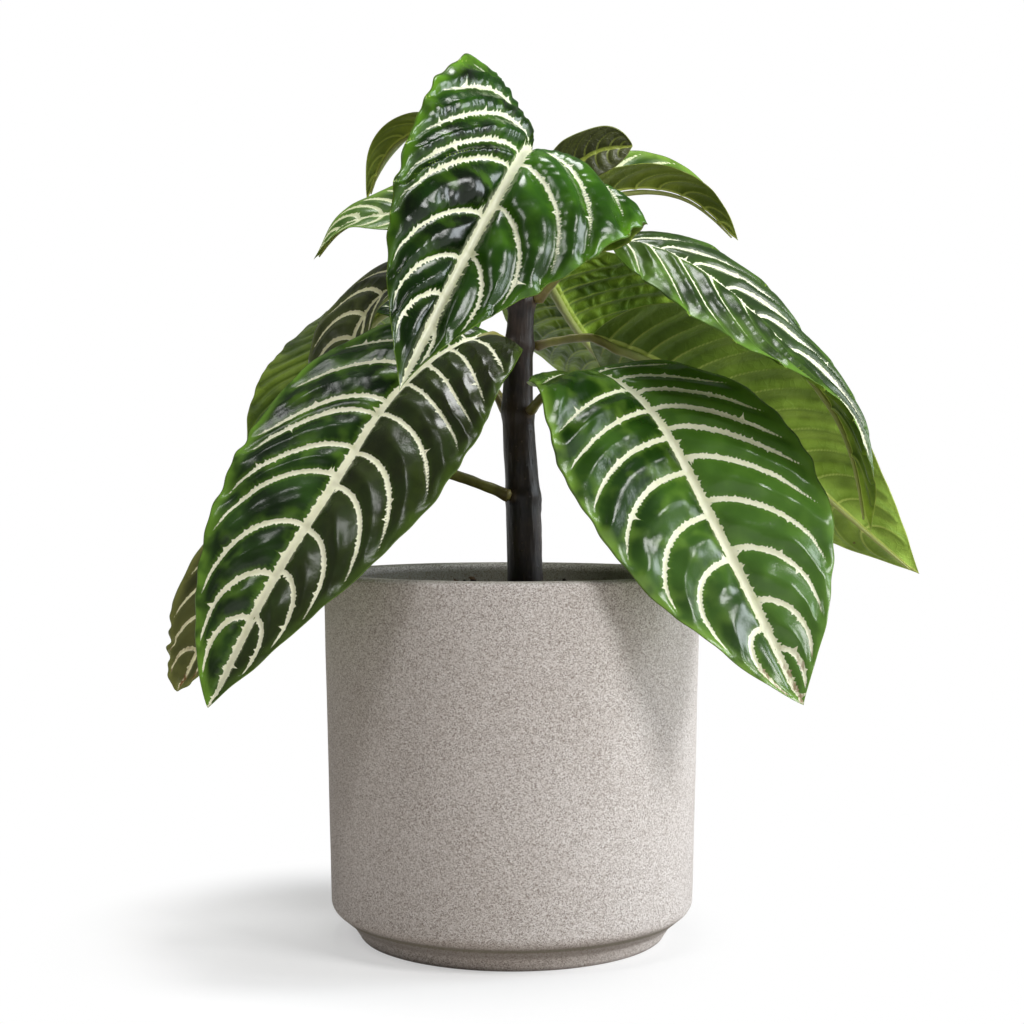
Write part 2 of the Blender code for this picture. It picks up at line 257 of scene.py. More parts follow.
def piece(name, shell, finishes, fields=None, face_slots=None):
    """A smooth mesh object in metres from a shell in millimetres, with its finishes and its fields."""
    points, quads, triangles = shell
    mesh = bpy.data.meshes.new(name)
    mesh.vertices.add(len(points))
    mesh.vertices.foreach_set("co", (points * MM).ravel().astype(np.float32))
    corners = np.concatenate([quads.ravel(), triangles.ravel()])
    totals = np.concatenate([np.full(len(quads), 4), np.full(len(triangles), 3)])
    mesh.loops.add(len(corners))
    mesh.loops.foreach_set("vertex_index", corners.astype(np.int32))
    mesh.polygons.add(len(totals))
    mesh.polygons.foreach_set("loop_start", (np.cumsum(totals) - totals).astype(np.int32))
    for finish in finishes:
        mesh.materials.append(finish)
    if face_slots is not None:
        mesh.polygons.foreach_set("material_index", face_slots.astype(np.int32))
    for key, values in (fields or {}).items():
        mesh.attributes.new(key, "FLOAT", "POINT").data.foreach_set("value", values.ravel().astype(np.float32))
    mesh.update()
    mesh.validate()
    mesh.shade_smooth()
    made = bpy.data.objects.new(name, mesh)
    bpy.context.scene.collection.objects.link(made)
    return made


def seat(made, node):
    """The piece rides with the plant and stands for a solid, which is hidden."""
    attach(made, "root")
    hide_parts(node)
    print(made.name, "has", len(made.data.polygons), "faces")


def swell(x, y, size, seed):
    """Smooth unevenness from about -1 to 1: a sum of eight plane waves in random directions."""
    rng = np.random.default_rng(seed)
    turn = rng.uniform(0, 2 * np.pi, 8)
    phase = rng.uniform(0, 2 * np.pi, 8)
    pitch = 2 * np.pi / (size * rng.uniform(0.7, 1.6, 8))
    waves = [np.sin(p * (x * np.cos(t) + y * np.sin(t)) + f) for t, f, p in zip(turn, phase, pitch)]
    return sum(waves) / 3.2


# %% [markdown]
# ## Planter
#
# The planter is slip-cast or turned stoneware: a nearly straight wall, a soft lip, and a bevel above a
# narrower foot. A turned shape is one profile carried round an axis. The profile is resampled finely, so
# that its round corners stay round, and the wall waves by a few hundredths of a millimetre as fired clay does.

# %% Planter shape
RIM_RADIUS, RIM_HEIGHT = 70.0, 135.0
SHOULDER_RADIUS, SHOULDER_HEIGHT = 67.3, 14.0
BEVEL_RADIUS, BEVEL_HEIGHT = 60.0, 5.7
FOOT_RADIUS = 56.8
WALL, FLOOR, INNER_CORNER = 6.0, 8.0, 9.0
LIP = 1.8
NEAR_AXIS = 0.3  # the first and last rings are this small, and a fan of faces closes each
PLANTER_SIDES = 192


def arc(centre, radius, start, end, steps):
    """Points (r, z) on a circle from one angle to another, in degrees."""
    turn = np.radians(np.linspace(start, end, steps + 1))
    return np.stack([centre[0] + radius * np.cos(turn), centre[1] + radius * np.sin(turn)], 1)


def resampled(outline, step):
    """The outline with points about a step apart, all its corners kept."""
    pieces = []
    for first, second in zip(outline[:-1], outline[1:]):
        count = max(1, int(np.ceil(np.linalg.norm(second - first) / step)))
        pieces.append(first + (second - first) * np.arange(count)[:, None] / count)
    return np.vstack([*pieces, outline[-1:]])


def wall_radius(height):
    """The outer radius of the wall, which widens evenly from the shoulder to the rim."""
    share = (height - SHOULDER_HEIGHT) / (RIM_HEIGHT - SHOULDER_HEIGHT)
    return SHOULDER_RADIUS + (RIM_RADIUS - SHOULDER_RADIUS) * share


inner_foot = wall_radius(FLOOR + INNER_CORNER) - WALL - INNER_CORNER
planter_outline = np.vstack([
    [(NEAR_AXIS, 0.0)],
    arc((FOOT_RADIUS - 1, 1), 1, -90, -10, 4),
    [(BEVEL_RADIUS - 0.5, BEVEL_HEIGHT - 0.8)],
    [(BEVEL_RADIUS + 0.3, BEVEL_HEIGHT + 0.1)],
    arc((SHOULDER_RADIUS - 5, SHOULDER_HEIGHT), 5, -50, 0, 8),
    arc((RIM_RADIUS - LIP, RIM_HEIGHT - LIP), LIP, 0, 90, 6),
    arc((RIM_RADIUS - WALL + LIP, RIM_HEIGHT - LIP), LIP, 90, 180, 6),
    arc((inner_foot, FLOOR + INNER_CORNER), INNER_CORNER, 0, -90, 8),
    [(NEAR_AXIS, FLOOR)],
])
profile = resampled(planter_outline, 1.6)
planter_turn = around(PLANTER_SIDES)[None]
wave = 0.05 * swell(60 * planter_turn, profile[:, 1:], 24, 3) * (profile[:, :1] > 50)
planter_rings = turned(profile[:, :1] + wave, planter_turn, profile[:, 1:])
print("planter rings", planter_rings.shape)

# %% [markdown]
# The clay is warm grey with sand in it. Seen close, it is a crowd of grains a third of a millimetre across,
# some darker and some paler than the ground, over a faint cloudy tone. A cell pattern gives each grain its own
# number, which picks its tone, and a shallow bump lets the light catch the sandy skin. The band above the
# foot, the foot's lower edge, the inside of the wall and the top of the lip are painted darker as painted
# shade.


# %% Stoneware finish
def stoneware():
    clay = Finish("speckled_stoneware")
    grain = clay.node("ShaderNodeTexVoronoi", None, {"Vector": clay.place, "Scale": 1 / 0.0003}, out="Color")
    pick = clay.node("ShaderNodeSeparateColor", None, {"Color": grain})
    fine = clay.noise(0.0004, 2.0, 0.7)
    cloud = clay.noise(0.04, 2.0)
    ground = clay.mix(cloud.ramp(0.3, 0.7), tint(207, 200, 195), tint(214, 208, 204))
    dark = clay.mix(pick.ramp(0.5, 1.0) * 0.8, ground, tint(120, 106, 95))
    pale = clay.mix(pick.ramp(0.5, 0.0) * 0.7, dark, tint(248, 246, 244))
    skin = clay.mix(fine.ramp(0.5, 0.8) * 0.2, pale, tint(150, 138, 128))
    height = clay.node("ShaderNodeSeparateXYZ", None, {"Vector": clay.place}, out=2)
    # painted shade: the band above the foot and the foot's lower edge are darkened, as they face down into
    # shade
    groove = height.ramp(0.0122, 0.0085) * height.ramp(0.004, 0.0062)
    skin = clay.mix((groove * 0.5).most(height.ramp(0.0018, 0.0002) * 0.6), skin, tint(92, 80, 68))
    # painted shade: the inside of the wall and the top of the lip are darkened where light reaches them less
    painted_inner_shade = (clay.field("inside") * 0.65).most(height.ramp(0.1338, 0.1349) * 0.4)
    skin = clay.mix(painted_inner_shade, skin, tint(108, 104, 82))
    relief = clay.bump(fine + pick * 0.4, 0.00006)
    return clay.set(Base_Color=skin, Roughness=0.72 + fine * 0.15, Normal=relief)


across, height = profile.T
inside = (across < RIM_RADIUS - WALL + 0.8) & (height < RIM_HEIGHT - LIP) & (height >= FLOOR)
planter_fields = {"inside": np.append(np.repeat(inside, PLANTER_SIDES), [0, 1])}
planter_piece = piece("planter_skin", tube_shell(planter_rings), [stoneware()], planter_fields)
seat(planter_piece, "planter")

# %% [markdown]
# ## Stem
#
# The stem is woody and almost black, with a swelling at each pair of leaves. A pale pad marks where a stalk
# leaves it, and a scar where an old leaf fell. It is a tube of rings whose radius is a function of height and
# of the angle round it, so the swellings, the pads and the bark's fine ribs are sums of small bumps.

# %% Stem shape
# Height, sideways lean and radius, from the buried foot to the growing point.
STEM = np.array([
    (100.3, 5, 6.7), (128, 5, 6.7), (150, 4.5, 6.5), (164, 4, 6.4), (179, 3, 6.1), (196, 2, 5.8),
    (219, 2.5, 5.2), (235, 3.5, 4.8), (247, 4, 4.3), (258, 4, 3.7), (266, 4, 3.2), (273, 4, 2.4),
])
NODE_HEIGHTS = np.array([163, 194, 219, 235, 247, 258, 266])
STEM_GAP = 0.3


def stem_at(height):
    return np.interp(height, STEM[:, 0], STEM[:, 1]), np.interp(height, STEM[:, 0], STEM[:, 2])


def stem_radius(height):
    """The radius, plus a short bell of half a millimetre at each node."""
    bells = np.exp(-(((np.asarray(height)[..., None] - NODE_HEIGHTS) / 2.5) ** 2)).sum(-1)
    return stem_at(height)[1] + 0.5 * bells


def near_place(angle, height, place, radius):
    """A bell from 0 to 1 round a place (angle, height, reach) on the stem's skin."""
    aside = (np.mod(angle - place[0] + np.pi, 2 * np.pi) - np.pi) * radius
    return np.exp(-(np.hypot(aside, height - place[1]) / place[2]) ** 2)


# %% [markdown]
# The leaf table comes next, because the stem needs to know where its stalks leave. Each row places a midrib
# in the frame, gives the widest half blade on either side, and says how the blade rolls, folds and curls.
# The numbers are those of the solid leaves, so that each sheet lies about its solid.

# %% Leaf table
#   node     height on the stem
#   route    the blade's base, three or four points along the midrib and its tip
#   width    widest half on the leaf's left and right, looking from the stem to the tip
#   shape    (p, q) of each half's outline u^p (1 - u)^q
#   roll     turn about the midrib at the base, one third, two thirds and the tip, left side up
#   fold     rise of each half beside the midrib at the base, the middle and the tip
#   curl     how far each half bends back down from midrib to margin, at the same places
#   turn     how far the stalk's foot sits round the stem from the line of the blade, in degrees, if it does
LEAVES = {
    "leaf_1_left": dict(
        turn=48, node=163,
        route=((-25, -3, 172), (-50, -6, 174), (-82, -9, 155), (-108, -13, 122), (-122, -18, 92)),
        width=(28, 24), shape=((0.6, 0.7), (0.7, 0.5)), roll=(-20, -40, -45, -45),
        fold=((10, 10, 10), (10, 10, 10)), curl=((15, 15, 10), (15, 15, 10)),
    ),
    "leaf_2_right": dict(
        node=194,
        route=(
            (15, -16, 203), (30.5, -28, 208), (44, -37, 200), (63.5, -49, 168), (82, -60, 129), (97.5, -72, 94),
        ),
        width=(44, 48), shape=((1.2, 1.15), (0.48, 0.9)), roll=(5, 30, 38, 38),
        fold=((10, 18, 15), (15, 18, 15)), curl=((20, 25, 15), (25, 25, 15)),
    ),
    "leaf_2_left": dict(
        node=194, route=((-20, 31, 224), (-48, 61, 241), (-69, 84, 226), (-93, 104, 202), (-114, 121, 160)),
        width=(32, 35), shape=((0.6, 0.95), (0.6, 0.95)), roll=(-10, -10, 0, 0),
        fold=((10, 10, 10), (10, 10, 10)), curl=((15, 15, 10), (15, 15, 10)),
    ),
    "leaf_3_left": dict(
        node=219, route=((-7, -13, 222), (-38, -29, 205), (-60, -44, 172), (-79, -54, 141), (-103, -64, 92)),
        width=(46, 41), shape=((0.42, 1.0), (0.62, 0.85)), roll=(-22, -32, -36, -33),
        fold=((15, 18, 15), (12, 18, 15)), curl=((20, 25, 15), (25, 25, 15)),
    ),
    "leaf_3_right": dict(
        node=219, route=((30, 12, 223), (62, 25, 212), (92, 36, 191), (128, 45, 161), (164, 52, 131)),
        width=(35, 38), shape=((0.7, 1.15), (0.6, 1.05)), roll=(-30, -45, -50, -45),
        fold=((15, 15, 10), (15, 15, 10)), curl=((15, 15, 10), (15, 15, 10)),
    ),
    "leaf_4_right": dict(
        node=235, route=((36, -12, 257), (66, -24, 247), (96, -34, 219), (117, -41, 189), (125, -45, 151)),
        width=(26, 31), shape=((0.6, 1.0), (0.6, 1.0)), roll=(20, 17, 0, -10),
        fold=((5, 12, 35), (-5, 5, 38)), curl=((15, 20, 15), (25, 25, 15)),
    ),
    "leaf_4_left": dict(
        node=235, route=((-22, 7, 245), (-46, 12, 243), (-60, 12, 226), (-65, 14, 204), (-67, 17, 180)),
        width=(12, 31), shape=((0.6, 0.95), (0.6, 0.95)), roll=(-20, -40, -58, -60),
        fold=((10, 10, 10), (5, 10, 10)), curl=((10, 10, 10), (25, 30, 20)),
    ),
    "leaf_5_front": dict(
        node=247,
        route=(
            (6, -17, 259), (8, -36, 277), (7, -58, 283), (-3, -78, 265), (-16, -92, 239), (-35, -112, 197),
        ),
        width=(48.5, 40), shape=((0.69, 1.5), (1.0, 1.15)), roll=(-34, -36, -36, -25),
        fold=((-3, 30, 25), (27, 42, 32)), curl=((42, 44, 25), (20, 32, 20)),
    ),
    "leaf_5_back": dict(
        node=247, route=((11, 24, 252), (18, 40, 243), (34, 70, 224), (54, 96, 204), (72, 116, 178)),
        width=(34, 42), shape=((0.6, 0.95), (0.6, 0.95)), roll=(-15, -15, -10, 0),
        fold=((25, 25, 15), (25, 25, 15)), curl=((15, 15, 10), (15, 15, 10)),
    ),
    "leaf_6_right": dict(
        node=258, route=((14, 2, 266), (30, 5, 275), (48, 8, 279), (67, 12, 276), (86, 15, 260)),
        width=(17, 15), shape=((0.6, 0.95), (0.6, 0.95)), roll=(10, 10, 10, 0),
        fold=((66, 64, 44), (46, 46, 40)), curl=((15, 15, 10), (15, 15, 10)),
    ),
    "leaf_6_left": dict(
        node=258, route=((-12, -1, 265), (-30, -2, 271), (-45, -3, 268), (-61, -5, 264), (-73, -8, 250)),
        width=(18, 15), shape=((0.6, 0.95), (0.6, 0.95)), roll=(-45, -45, -30, 0),
        fold=((15, 15, 10), (15, 15, 10)), curl=((15, 15, 10), (15, 15, 10)),
    ),
    "leaf_7_right": dict(
        node=266, route=((10, -4, 273), (20, -12, 282), (31, -20, 288), (43, -28, 288)),
        width=(15, 17), shape=((0.4, 0.8), (0.5, 0.45)), roll=(60, 60, 60, 60),
        fold=((10, 10, 10), (10, 10, 10)), curl=((10, 10, 10), (10, 10, 10)),
    ),
    "leaf_7_left": dict(
        node=266, route=((-3, 10, 276), (-16, 19, 294), (-30, 27, 305), (-45, 32, 301), (-57, 38, 279)),
        width=(14, 14), shape=((0.6, 0.95), (0.6, 0.95)), roll=(0, 0, 0, 0),
        fold=((25, 25, 20), (25, 25, 20)), curl=((15, 15, 10), (15, 15, 10)),
    ),
}
print("rows in the leaf table:", len(LEAVES))

# %% Stem rings
def stalk_angle(leaf):
    """The direction in which a leaf's stalk leaves the stem, in radians from +X."""
    lean = stem_at(leaf["node"])[0]
    return np.arctan2(leaf["route"][0][1], leaf["route"][0][0] - lean) + np.radians(leaf.get("turn", 0))


SCAR = (0.35, 160.0, 2.4)  # angle, height and reach of the mark that the fallen leaf left
PAD_REACH = 2.6
stem_heights = np.linspace(STEM[0, 0], STEM[-1, 0], 260)[:, None]
stem_turn = around(72)[None]
skin = stem_radius(stem_heights[:, 0])[:, None]
pad_places = [(stalk_angle(leaf), leaf["node"], PAD_REACH) for leaf in LEAVES.values()]
pads = sum(near_place(stem_turn, stem_heights, place, skin) for place in pad_places)
scar = near_place(stem_turn, stem_heights, SCAR, skin)
scar_rim = np.clip(scar * (1 - scar) * 4, 0, 1)
bark = 0.05 * np.sin(17 * stem_turn + 0.05 * stem_heights) * swell(stem_turn * 9, stem_heights, 14, 5)
bark = bark + 0.12 * swell(stem_turn * 6, stem_heights * 0.5, 9, 6)
stem_r = skin + bark + 0.7 * pads + 0.55 * scar_rim
stem_rings = turned(stem_r, stem_turn, stem_heights, stem_at(stem_heights)[0])
stem_fields = {"pad": np.append(np.clip(pads + 0.8 * scar, 0, 1).ravel(), [0, 0])}
print("stem radius", stem_r.min().round(2), "to", stem_r.max().round(2), "mm")


# %% Bark finish
def bark_finish():
    wood = Finish("dark_bark")
    long_grain = wood.node("ShaderNodeMapping", None, {"Vector": wood.place, "Scale": (1.0, 1.0, 0.12)})
    fibre = wood.noise(0.0009, 4.0, 0.6, long_grain)
    blotch = wood.noise(0.012, 3.0)
    flecks = wood.node("ShaderNodeTexVoronoi", None, {"Vector": wood.place, "Scale": 1 / 0.0028})
    ground = wood.mix(blotch.ramp(0.35, 0.7), tint(28, 22, 21), tint(58, 45, 39))
    streaked = wood.mix(fibre.ramp(0.5, 0.8) * 0.6, ground, tint(74, 60, 52))
    dotted = wood.mix(flecks.ramp(0.16, 0.08) * blotch.ramp(0.4, 0.6) * 0.5, streaked, tint(110, 92, 78))
    padded = wood.mix(wood.field("pad").ramp(0.25, 0.8) * 0.75, dotted, tint(86, 70, 50))
    relief = wood.bump(fibre + flecks.ramp(0.2, 0.05) * 0.4, 0.00025)
    wood.set(Specular_IOR_Level=0.35)
    return wood.set(Base_Color=padded, Roughness=0.3 + fibre * 0.25, Normal=relief)


seat(piece("stem_bark", tube_shell(stem_rings), [bark_finish()], stem_fields), "stem")

# %% [markdown]
# ## Growing point
#
# On top sit two scale leaves pressed together, the next pair to open. Together they are a flattened spindle
# with a seam down each narrow side, and each has a keel. The radius is a product of a spindle profile and a
# function of the angle that pinches at the seams.

# %% Growing point
BUD_HEIGHT = 14
bud_share = np.linspace(0, 1, 70)[:-1, None]
bud_turn = around(48)[None] + 0.5 * bud_share
spindle = 2.6 * (0.75 + 0.9 * bud_share) * (1 - bud_share) ** 0.8 + 0.2
seam = np.exp(-((np.sin(bud_turn - 0.5 * bud_share) / 0.16) ** 2))
keel = np.exp(-((np.cos(bud_turn - 0.5 * bud_share) / 0.2) ** 2))
bud_r = spindle * (1 - 0.16 * seam * np.clip(bud_share * 6, 0, 1) + 0.08 * keel)
bud_lean, bud_foot = STEM[-1, 1], STEM[-1, 0] + STEM_GAP
bud_rings = np.stack([
    bud_lean + bud_r * np.cos(bud_turn), 0.72 * bud_r * np.sin(bud_turn),
    np.broadcast_to(bud_foot + BUD_HEIGHT * bud_share, bud_r.shape),
], -1)


def bud_finish():
    young = Finish("young_bud")
    soft = young.noise(0.0012, 3.0)
    height = young.node("ShaderNodeSeparateXYZ", None, {"Vector": young.place}, out=2)
    ground = young.mix(height.ramp(0.276, 0.288), tint(58, 74, 30), tint(104, 130, 52))
    veined = young.mix(soft.ramp(0.5, 0.7) * 0.5, ground, tint(140, 160, 84))
    return young.set(Base_Color=veined, Roughness=0.4 + soft * 0.1, Normal=young.bump(soft, 0.0002))


tip = tube_shell(bud_rings, end=np.array([bud_lean, 0, bud_foot + BUD_HEIGHT]))
seat(piece("growing_point", tip, [bud_finish()]), "shoot_tip")

# %% [markdown]
# ## Potting mix
#
# The mix fills the planter to just below the lip. Little of it shows, but it is what a viewer sees from above:
# a lumpy dark ground, crumbs of peat, and slivers of bark. The ground is a closed solid of rings with its top
# displaced, and the crumbs are small angular solids of twenty faces, made all at once and merged.

# %% Potting mix ground
SOIL_LEVEL = 127.0
SOIL_SIDES = 220
POCKET_FLOOR = 100.0
POCKET_LEAN, buried_radius = stem_at(POCKET_FLOOR)
POCKET = buried_radius + STEM_GAP
wall_inside = wall_radius(SOIL_LEVEL) - WALL - STEM_GAP


def soil_height(x, y):
    """The level plus broad swells and small lumps, calm against the wall and the stem."""
    broad = 1.1 * swell(x, y, 34, 11)
    lumps = 0.8 * swell(x, y, 7, 12) + 0.35 * swell(x, y, 2.6, 13)
    from_wall = np.clip((wall_inside - np.hypot(x, y)) / 6, 0, 1)
    from_stem = np.clip((np.hypot(x - POCKET_LEAN, y) - POCKET) / 5, 0, 1)
    return SOIL_LEVEL - 1.5 + (broad + lumps) * from_wall * from_stem


soil_turn = around(SOIL_SIDES)[None]
shares = np.linspace(0, 1, 74)[:, None]
top_r = POCKET + (wall_inside - POCKET) * shares
top_x = POCKET_LEAN * (1 - shares) + top_r * np.cos(soil_turn)
top_y = top_r * np.sin(soil_turn)
soil_top = np.stack([top_x, top_y, soil_height(top_x, top_y)], -1)
side_outline = arc((inner_foot, FLOOR + INNER_CORNER), INNER_CORNER - STEM_GAP, 0, -90, 5)
soil_side = turned(side_outline[:, :1], soil_turn, side_outline[:, 1:])
soil_foot = turned(POCKET, soil_turn, POCKET_FLOOR, POCKET_LEAN)
soil_rings = np.vstack([soil_foot, soil_top, soil_side])
soil_ends = np.array([POCKET_LEAN, 0, POCKET_FLOOR]), np.array([0, 0, FLOOR + STEM_GAP])
ground_points, *ground_faces = tube_shell(soil_rings, *soil_ends)
ground_shell = (ground_points, *(faces[:, ::-1] for faces in ground_faces))  # the rings end at the bottom
print("soil top", soil_top[..., 2].min().round(1), "to", soil_top[..., 2].max().round(1), "mm")

# %% Crumbs
GOLDEN = (1 + 5**0.5) / 2
ICO_POINTS = np.array([
    (-1, GOLDEN, 0), (1, GOLDEN, 0), (-1, -GOLDEN, 0), (1, -GOLDEN, 0), (0, -1, GOLDEN), (0, 1, GOLDEN),
    (0, -1, -GOLDEN), (0, 1, -GOLDEN), (GOLDEN, 0, -1), (GOLDEN, 0, 1), (-GOLDEN, 0, -1), (-GOLDEN, 0, 1),
]) / np.hypot(1, GOLDEN)
ICO_FACES = np.array([
    (0, 11, 5), (0, 5, 1), (0, 1, 7), (0, 7, 10), (0, 10, 11), (1, 5, 9), (5, 11, 4), (11, 10, 2), (10, 7, 6),
    (7, 1, 8), (3, 9, 4), (3, 4, 2), (3, 2, 6), (3, 6, 8), (3, 8, 9), (4, 9, 5), (2, 4, 11), (6, 2, 10),
    (8, 6, 7), (9, 8, 1),
])


BARE_RADIUS = 9  # no crumb has its middle nearer to the stem's than this


def crumbs(count, size, stretch, seed, reach=(9, 62)):
    """Angular solids scattered on the soil: a jittered icosahedron, stretched, turned and sunk a little."""
    rng = np.random.default_rng(seed)
    jitter = 1 + rng.uniform(-0.25, 0.25, (count, 12, 1))
    spans = rng.uniform(*size, (count, 1, 1)) * np.array([1, *stretch]) * rng.uniform(0.7, 1.3, (count, 1, 3))
    shapes = ICO_POINTS * jitter * spans
    yaw, dip = rng.uniform(0, 2 * np.pi, count), rng.normal(0, 0.35, count)
    cy, sy, cd, sd = (f(a)[:, None] for a in (yaw, dip) for f in (np.cos, np.sin))
    x, z = shapes[..., 0] * cd - shapes[..., 2] * sd, shapes[..., 0] * sd + shapes[..., 2] * cd
    x, y = x * cy - shapes[..., 1] * sy, x * sy + shapes[..., 1] * cy
    r = np.sqrt(rng.uniform(reach[0] ** 2, reach[1] ** 2, count))
    angle = rng.uniform(0, 2 * np.pi, count)
    px, py = r * np.cos(angle), r * np.sin(angle)
    clear = np.hypot(px - POCKET_LEAN, py) > BARE_RADIUS
    pz = soil_height(px, py) + 0.25 * spans[:, 0, 2]
    points = np.stack([x + px[:, None], y + py[:, None], z + pz[:, None]], -1)[clear]
    faces = (ICO_FACES[None] + 12 * np.arange(len(points))[:, None, None]).reshape(-1, 3)
    return points.reshape(-1, 3), np.zeros((0, 4), int), faces


def soil_finish(name, dark, pale, chip):
    mix = Finish(name)
    coarse = mix.noise(0.004, 5.0, 0.7)
    fine = mix.noise(0.0006, 3.0, 0.7)
    shade = mix.mix(coarse.ramp(0.35, 0.7), dark, pale)
    specks = mix.mix(fine.ramp(0.6, 0.75) * 0.6, shade, chip)
    return mix.set(Base_Color=specks, Roughness=0.9 + fine * 0.08, Normal=mix.bump(fine + coarse, 0.0006))


peat = soil_finish("peat", tint(26, 20, 16), tint(50, 39, 30), tint(84, 66, 50))
bark_chip = soil_finish("bark_chips", tint(58, 40, 27), tint(96, 69, 46), tint(130, 99, 70))
small, large = crumbs(900, (0.5, 1.4), (0.8, 0.7), 21), crumbs(150, (1.4, 2.6), (0.8, 0.6), 22)
seat(piece("potting_mix", merged([ground_shell, small, large]), [peat]), "potting_soil")
chips = piece("bark_slivers", crumbs(130, (1.8, 4.2), (0.45, 0.22), 23, (10, 59)), [bark_chip])
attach(chips, "root")

# %% [markdown]
# ## Leaf sheets
#
# A leaf of this plant is a thin quilted sheet. The midrib and the side veins are sunk on top and stand out
# beneath, and the blade puffs up between them. We work on the blade laid flat: u runs from the base to the
# tip, v from the right margin (-1) to the left (1). The flat distances to the midrib, to the nearest side vein
# and to the margin drive both the relief here and the colours later, so the ink always sits in its groove.


# %% Midrib path
def unit(vectors):
    return vectors / np.linalg.norm(vectors, axis=-1, keepdims=True)


def smooth_curve(knots, per_span=40):
    """Natural cubic spline through the knots, with chord length as its parameter."""
    knots = np.array(knots, float)
    spans = np.linalg.norm(np.diff(knots, axis=0), axis=1)
    size = len(knots)
    matrix, right = np.eye(size), np.zeros((size, 3))
    for i in range(1, size - 1):
        matrix[i, i - 1 : i + 2] = spans[i - 1], 2 * (spans[i - 1] + spans[i]), spans[i]
        right[i] = 6 * ((knots[i + 1] - knots[i]) / spans[i] - (knots[i] - knots[i - 1]) / spans[i - 1])
    bend = np.linalg.solve(matrix, right)
    pieces = []
    for i, h in enumerate(spans):
        b = np.linspace(0, h, per_span, endpoint=i == size - 2)[:, None]
        a = h - b
        cubic = (bend[i] * a**3 + bend[i + 1] * b**3) / (6 * h)
        straight = (knots[i] / h - bend[i] * h / 6) * a + (knots[i + 1] / h - bend[i + 1] * h / 6) * b
        pieces.append(cubic + straight)
    return np.vstack(pieces), per_span


class Midrib:
    """The line that a leaf hangs on: place, side and up directions as functions of distance from the stem."""

    def __init__(self, leaf):
        lean = stem_at(leaf["node"])[0]
        out = np.array([np.cos(stalk_angle(leaf)), np.sin(stalk_angle(leaf))])
        foot = (lean, 0) + out * (stem_radius(leaf["node"]) + STEM_GAP)
        self.curve, per_span = smooth_curve([(*foot, leaf["node"]), *leaf["route"]])
        self.along = np.append(0, np.cumsum(np.linalg.norm(np.diff(self.curve, axis=0), axis=1)))
        self.petiole = self.along[per_span]
        self.blade = self.along[-1] - self.petiole
        ahead = unit(np.gradient(self.curve, self.along, axis=0))
        chord = self.curve[-1] - self.curve[0]
        level = unit(np.array([-chord[1], chord[0], 0.0]))
        side = unit(level - (ahead @ level)[:, None] * ahead)
        up = np.cross(ahead, side)
        marks = self.petiole + self.blade * np.array([0, 1 / 3, 2 / 3, 1])
        roll = np.radians(np.interp(self.along, (0, *marks), (0, *leaf["roll"])))[:, None]
        self.side = side * np.cos(roll) + up * np.sin(roll)
        self.up = up * np.cos(roll) - side * np.sin(roll)

    def at(self, distance):
        """Place, side and up at distances from the stem."""
        return [
            np.stack([np.interp(distance, self.along, line[:, k]) for k in range(3)], -1)
            for line in (self.curve, self.side, self.up)
        ]


ribs = {name: Midrib(leaf) for name, leaf in LEAVES.items()}
print("longest blade", round(max(rib.blade for rib in ribs.values())), "mm")

# %% [markdown]
# Side veins leave the midrib and sweep towards the tip in a curve that steepens near the margin. In flat
# coordinates a vein that starts at u0 follows u = u0 + lead t^bend and v = reach t. The lead grows from the
# base and falls again near the tip, as u0^late (1 - u0). Four leaves show their veins well and have their own
# rows of starts. Three long ones share a close row, and the rest a wider one. Left half first, then the right.

# %% Vein table
VEINS = {
    "leaf_5_front": dict(
        starts=(
            (0.08, 0.2, 0.3, 0.4, 0.53, 0.66, 0.84),
            (0.05, 0.12, 0.2, 0.29, 0.375, 0.43, 0.57, 0.68, 0.77),
        ),
        sweep=(0.25, 0.26), late=(0.5, 0.5), bend=(1.4, 1.5), reach=(0.93, 0.93),
    ),
    "leaf_2_right": dict(
        starts=(
            (0.07, 0.12, 0.18, 0.235, 0.29, 0.345, 0.42, 0.525, 0.64, 0.76, 0.87),
            (0.1, 0.22, 0.29, 0.365, 0.45, 0.555, 0.66, 0.82),
        ),
        sweep=(0.22, 0.19), late=(1, 2), bend=(1.7, 2.9), reach=(0.93, 0.94),
    ),
    "leaf_3_left": dict(
        starts=(
            (0.06, 0.115, 0.175, 0.235, 0.32, 0.42, 0.5, 0.605, 0.7, 0.805),
            (0.066, 0.135, 0.2, 0.29, 0.325, 0.411, 0.48, 0.6, 0.715, 0.81),
        ),
        sweep=(0.18, 0.22), late=(1, 1), bend=(2.3, 2.0), reach=(0.94, 0.93),
    ),
    "leaf_4_right": dict(
        starts=(
            (0.05, 0.13, 0.22, 0.32, 0.42, 0.53, 0.65, 0.78),
            (0.03, 0.1, 0.18, 0.27, 0.37, 0.47, 0.58, 0.7, 0.82),
        ),
        sweep=(0.26, 0.28), late=(0.5, 0.5), bend=(1.6, 1.45), reach=(0.9, 0.92),
    ),
}
CLOSE_VEINS = dict(
    starts=((0.04, 0.09, 0.14, 0.195, 0.25, 0.31, 0.37, 0.435, 0.5, 0.57, 0.65, 0.73, 0.82),) * 2,
    sweep=(0.17, 0.17), late=(1, 1), bend=(1.7, 1.7), reach=(0.93, 0.93),
)
for name in ("leaf_2_left", "leaf_3_right", "leaf_5_back"):
    VEINS[name] = CLOSE_VEINS
USUAL_VEINS = dict(
    starts=((0.05, 0.13, 0.22, 0.32, 0.43, 0.54, 0.66, 0.78, 0.88),) * 2,
    sweep=(0.2, 0.2), late=(1, 1), bend=(2.0, 2.0), reach=(0.93, 0.93),
)
VEIN_STEPS = 40
print("leaves with their own vein rows:", len(VEINS))


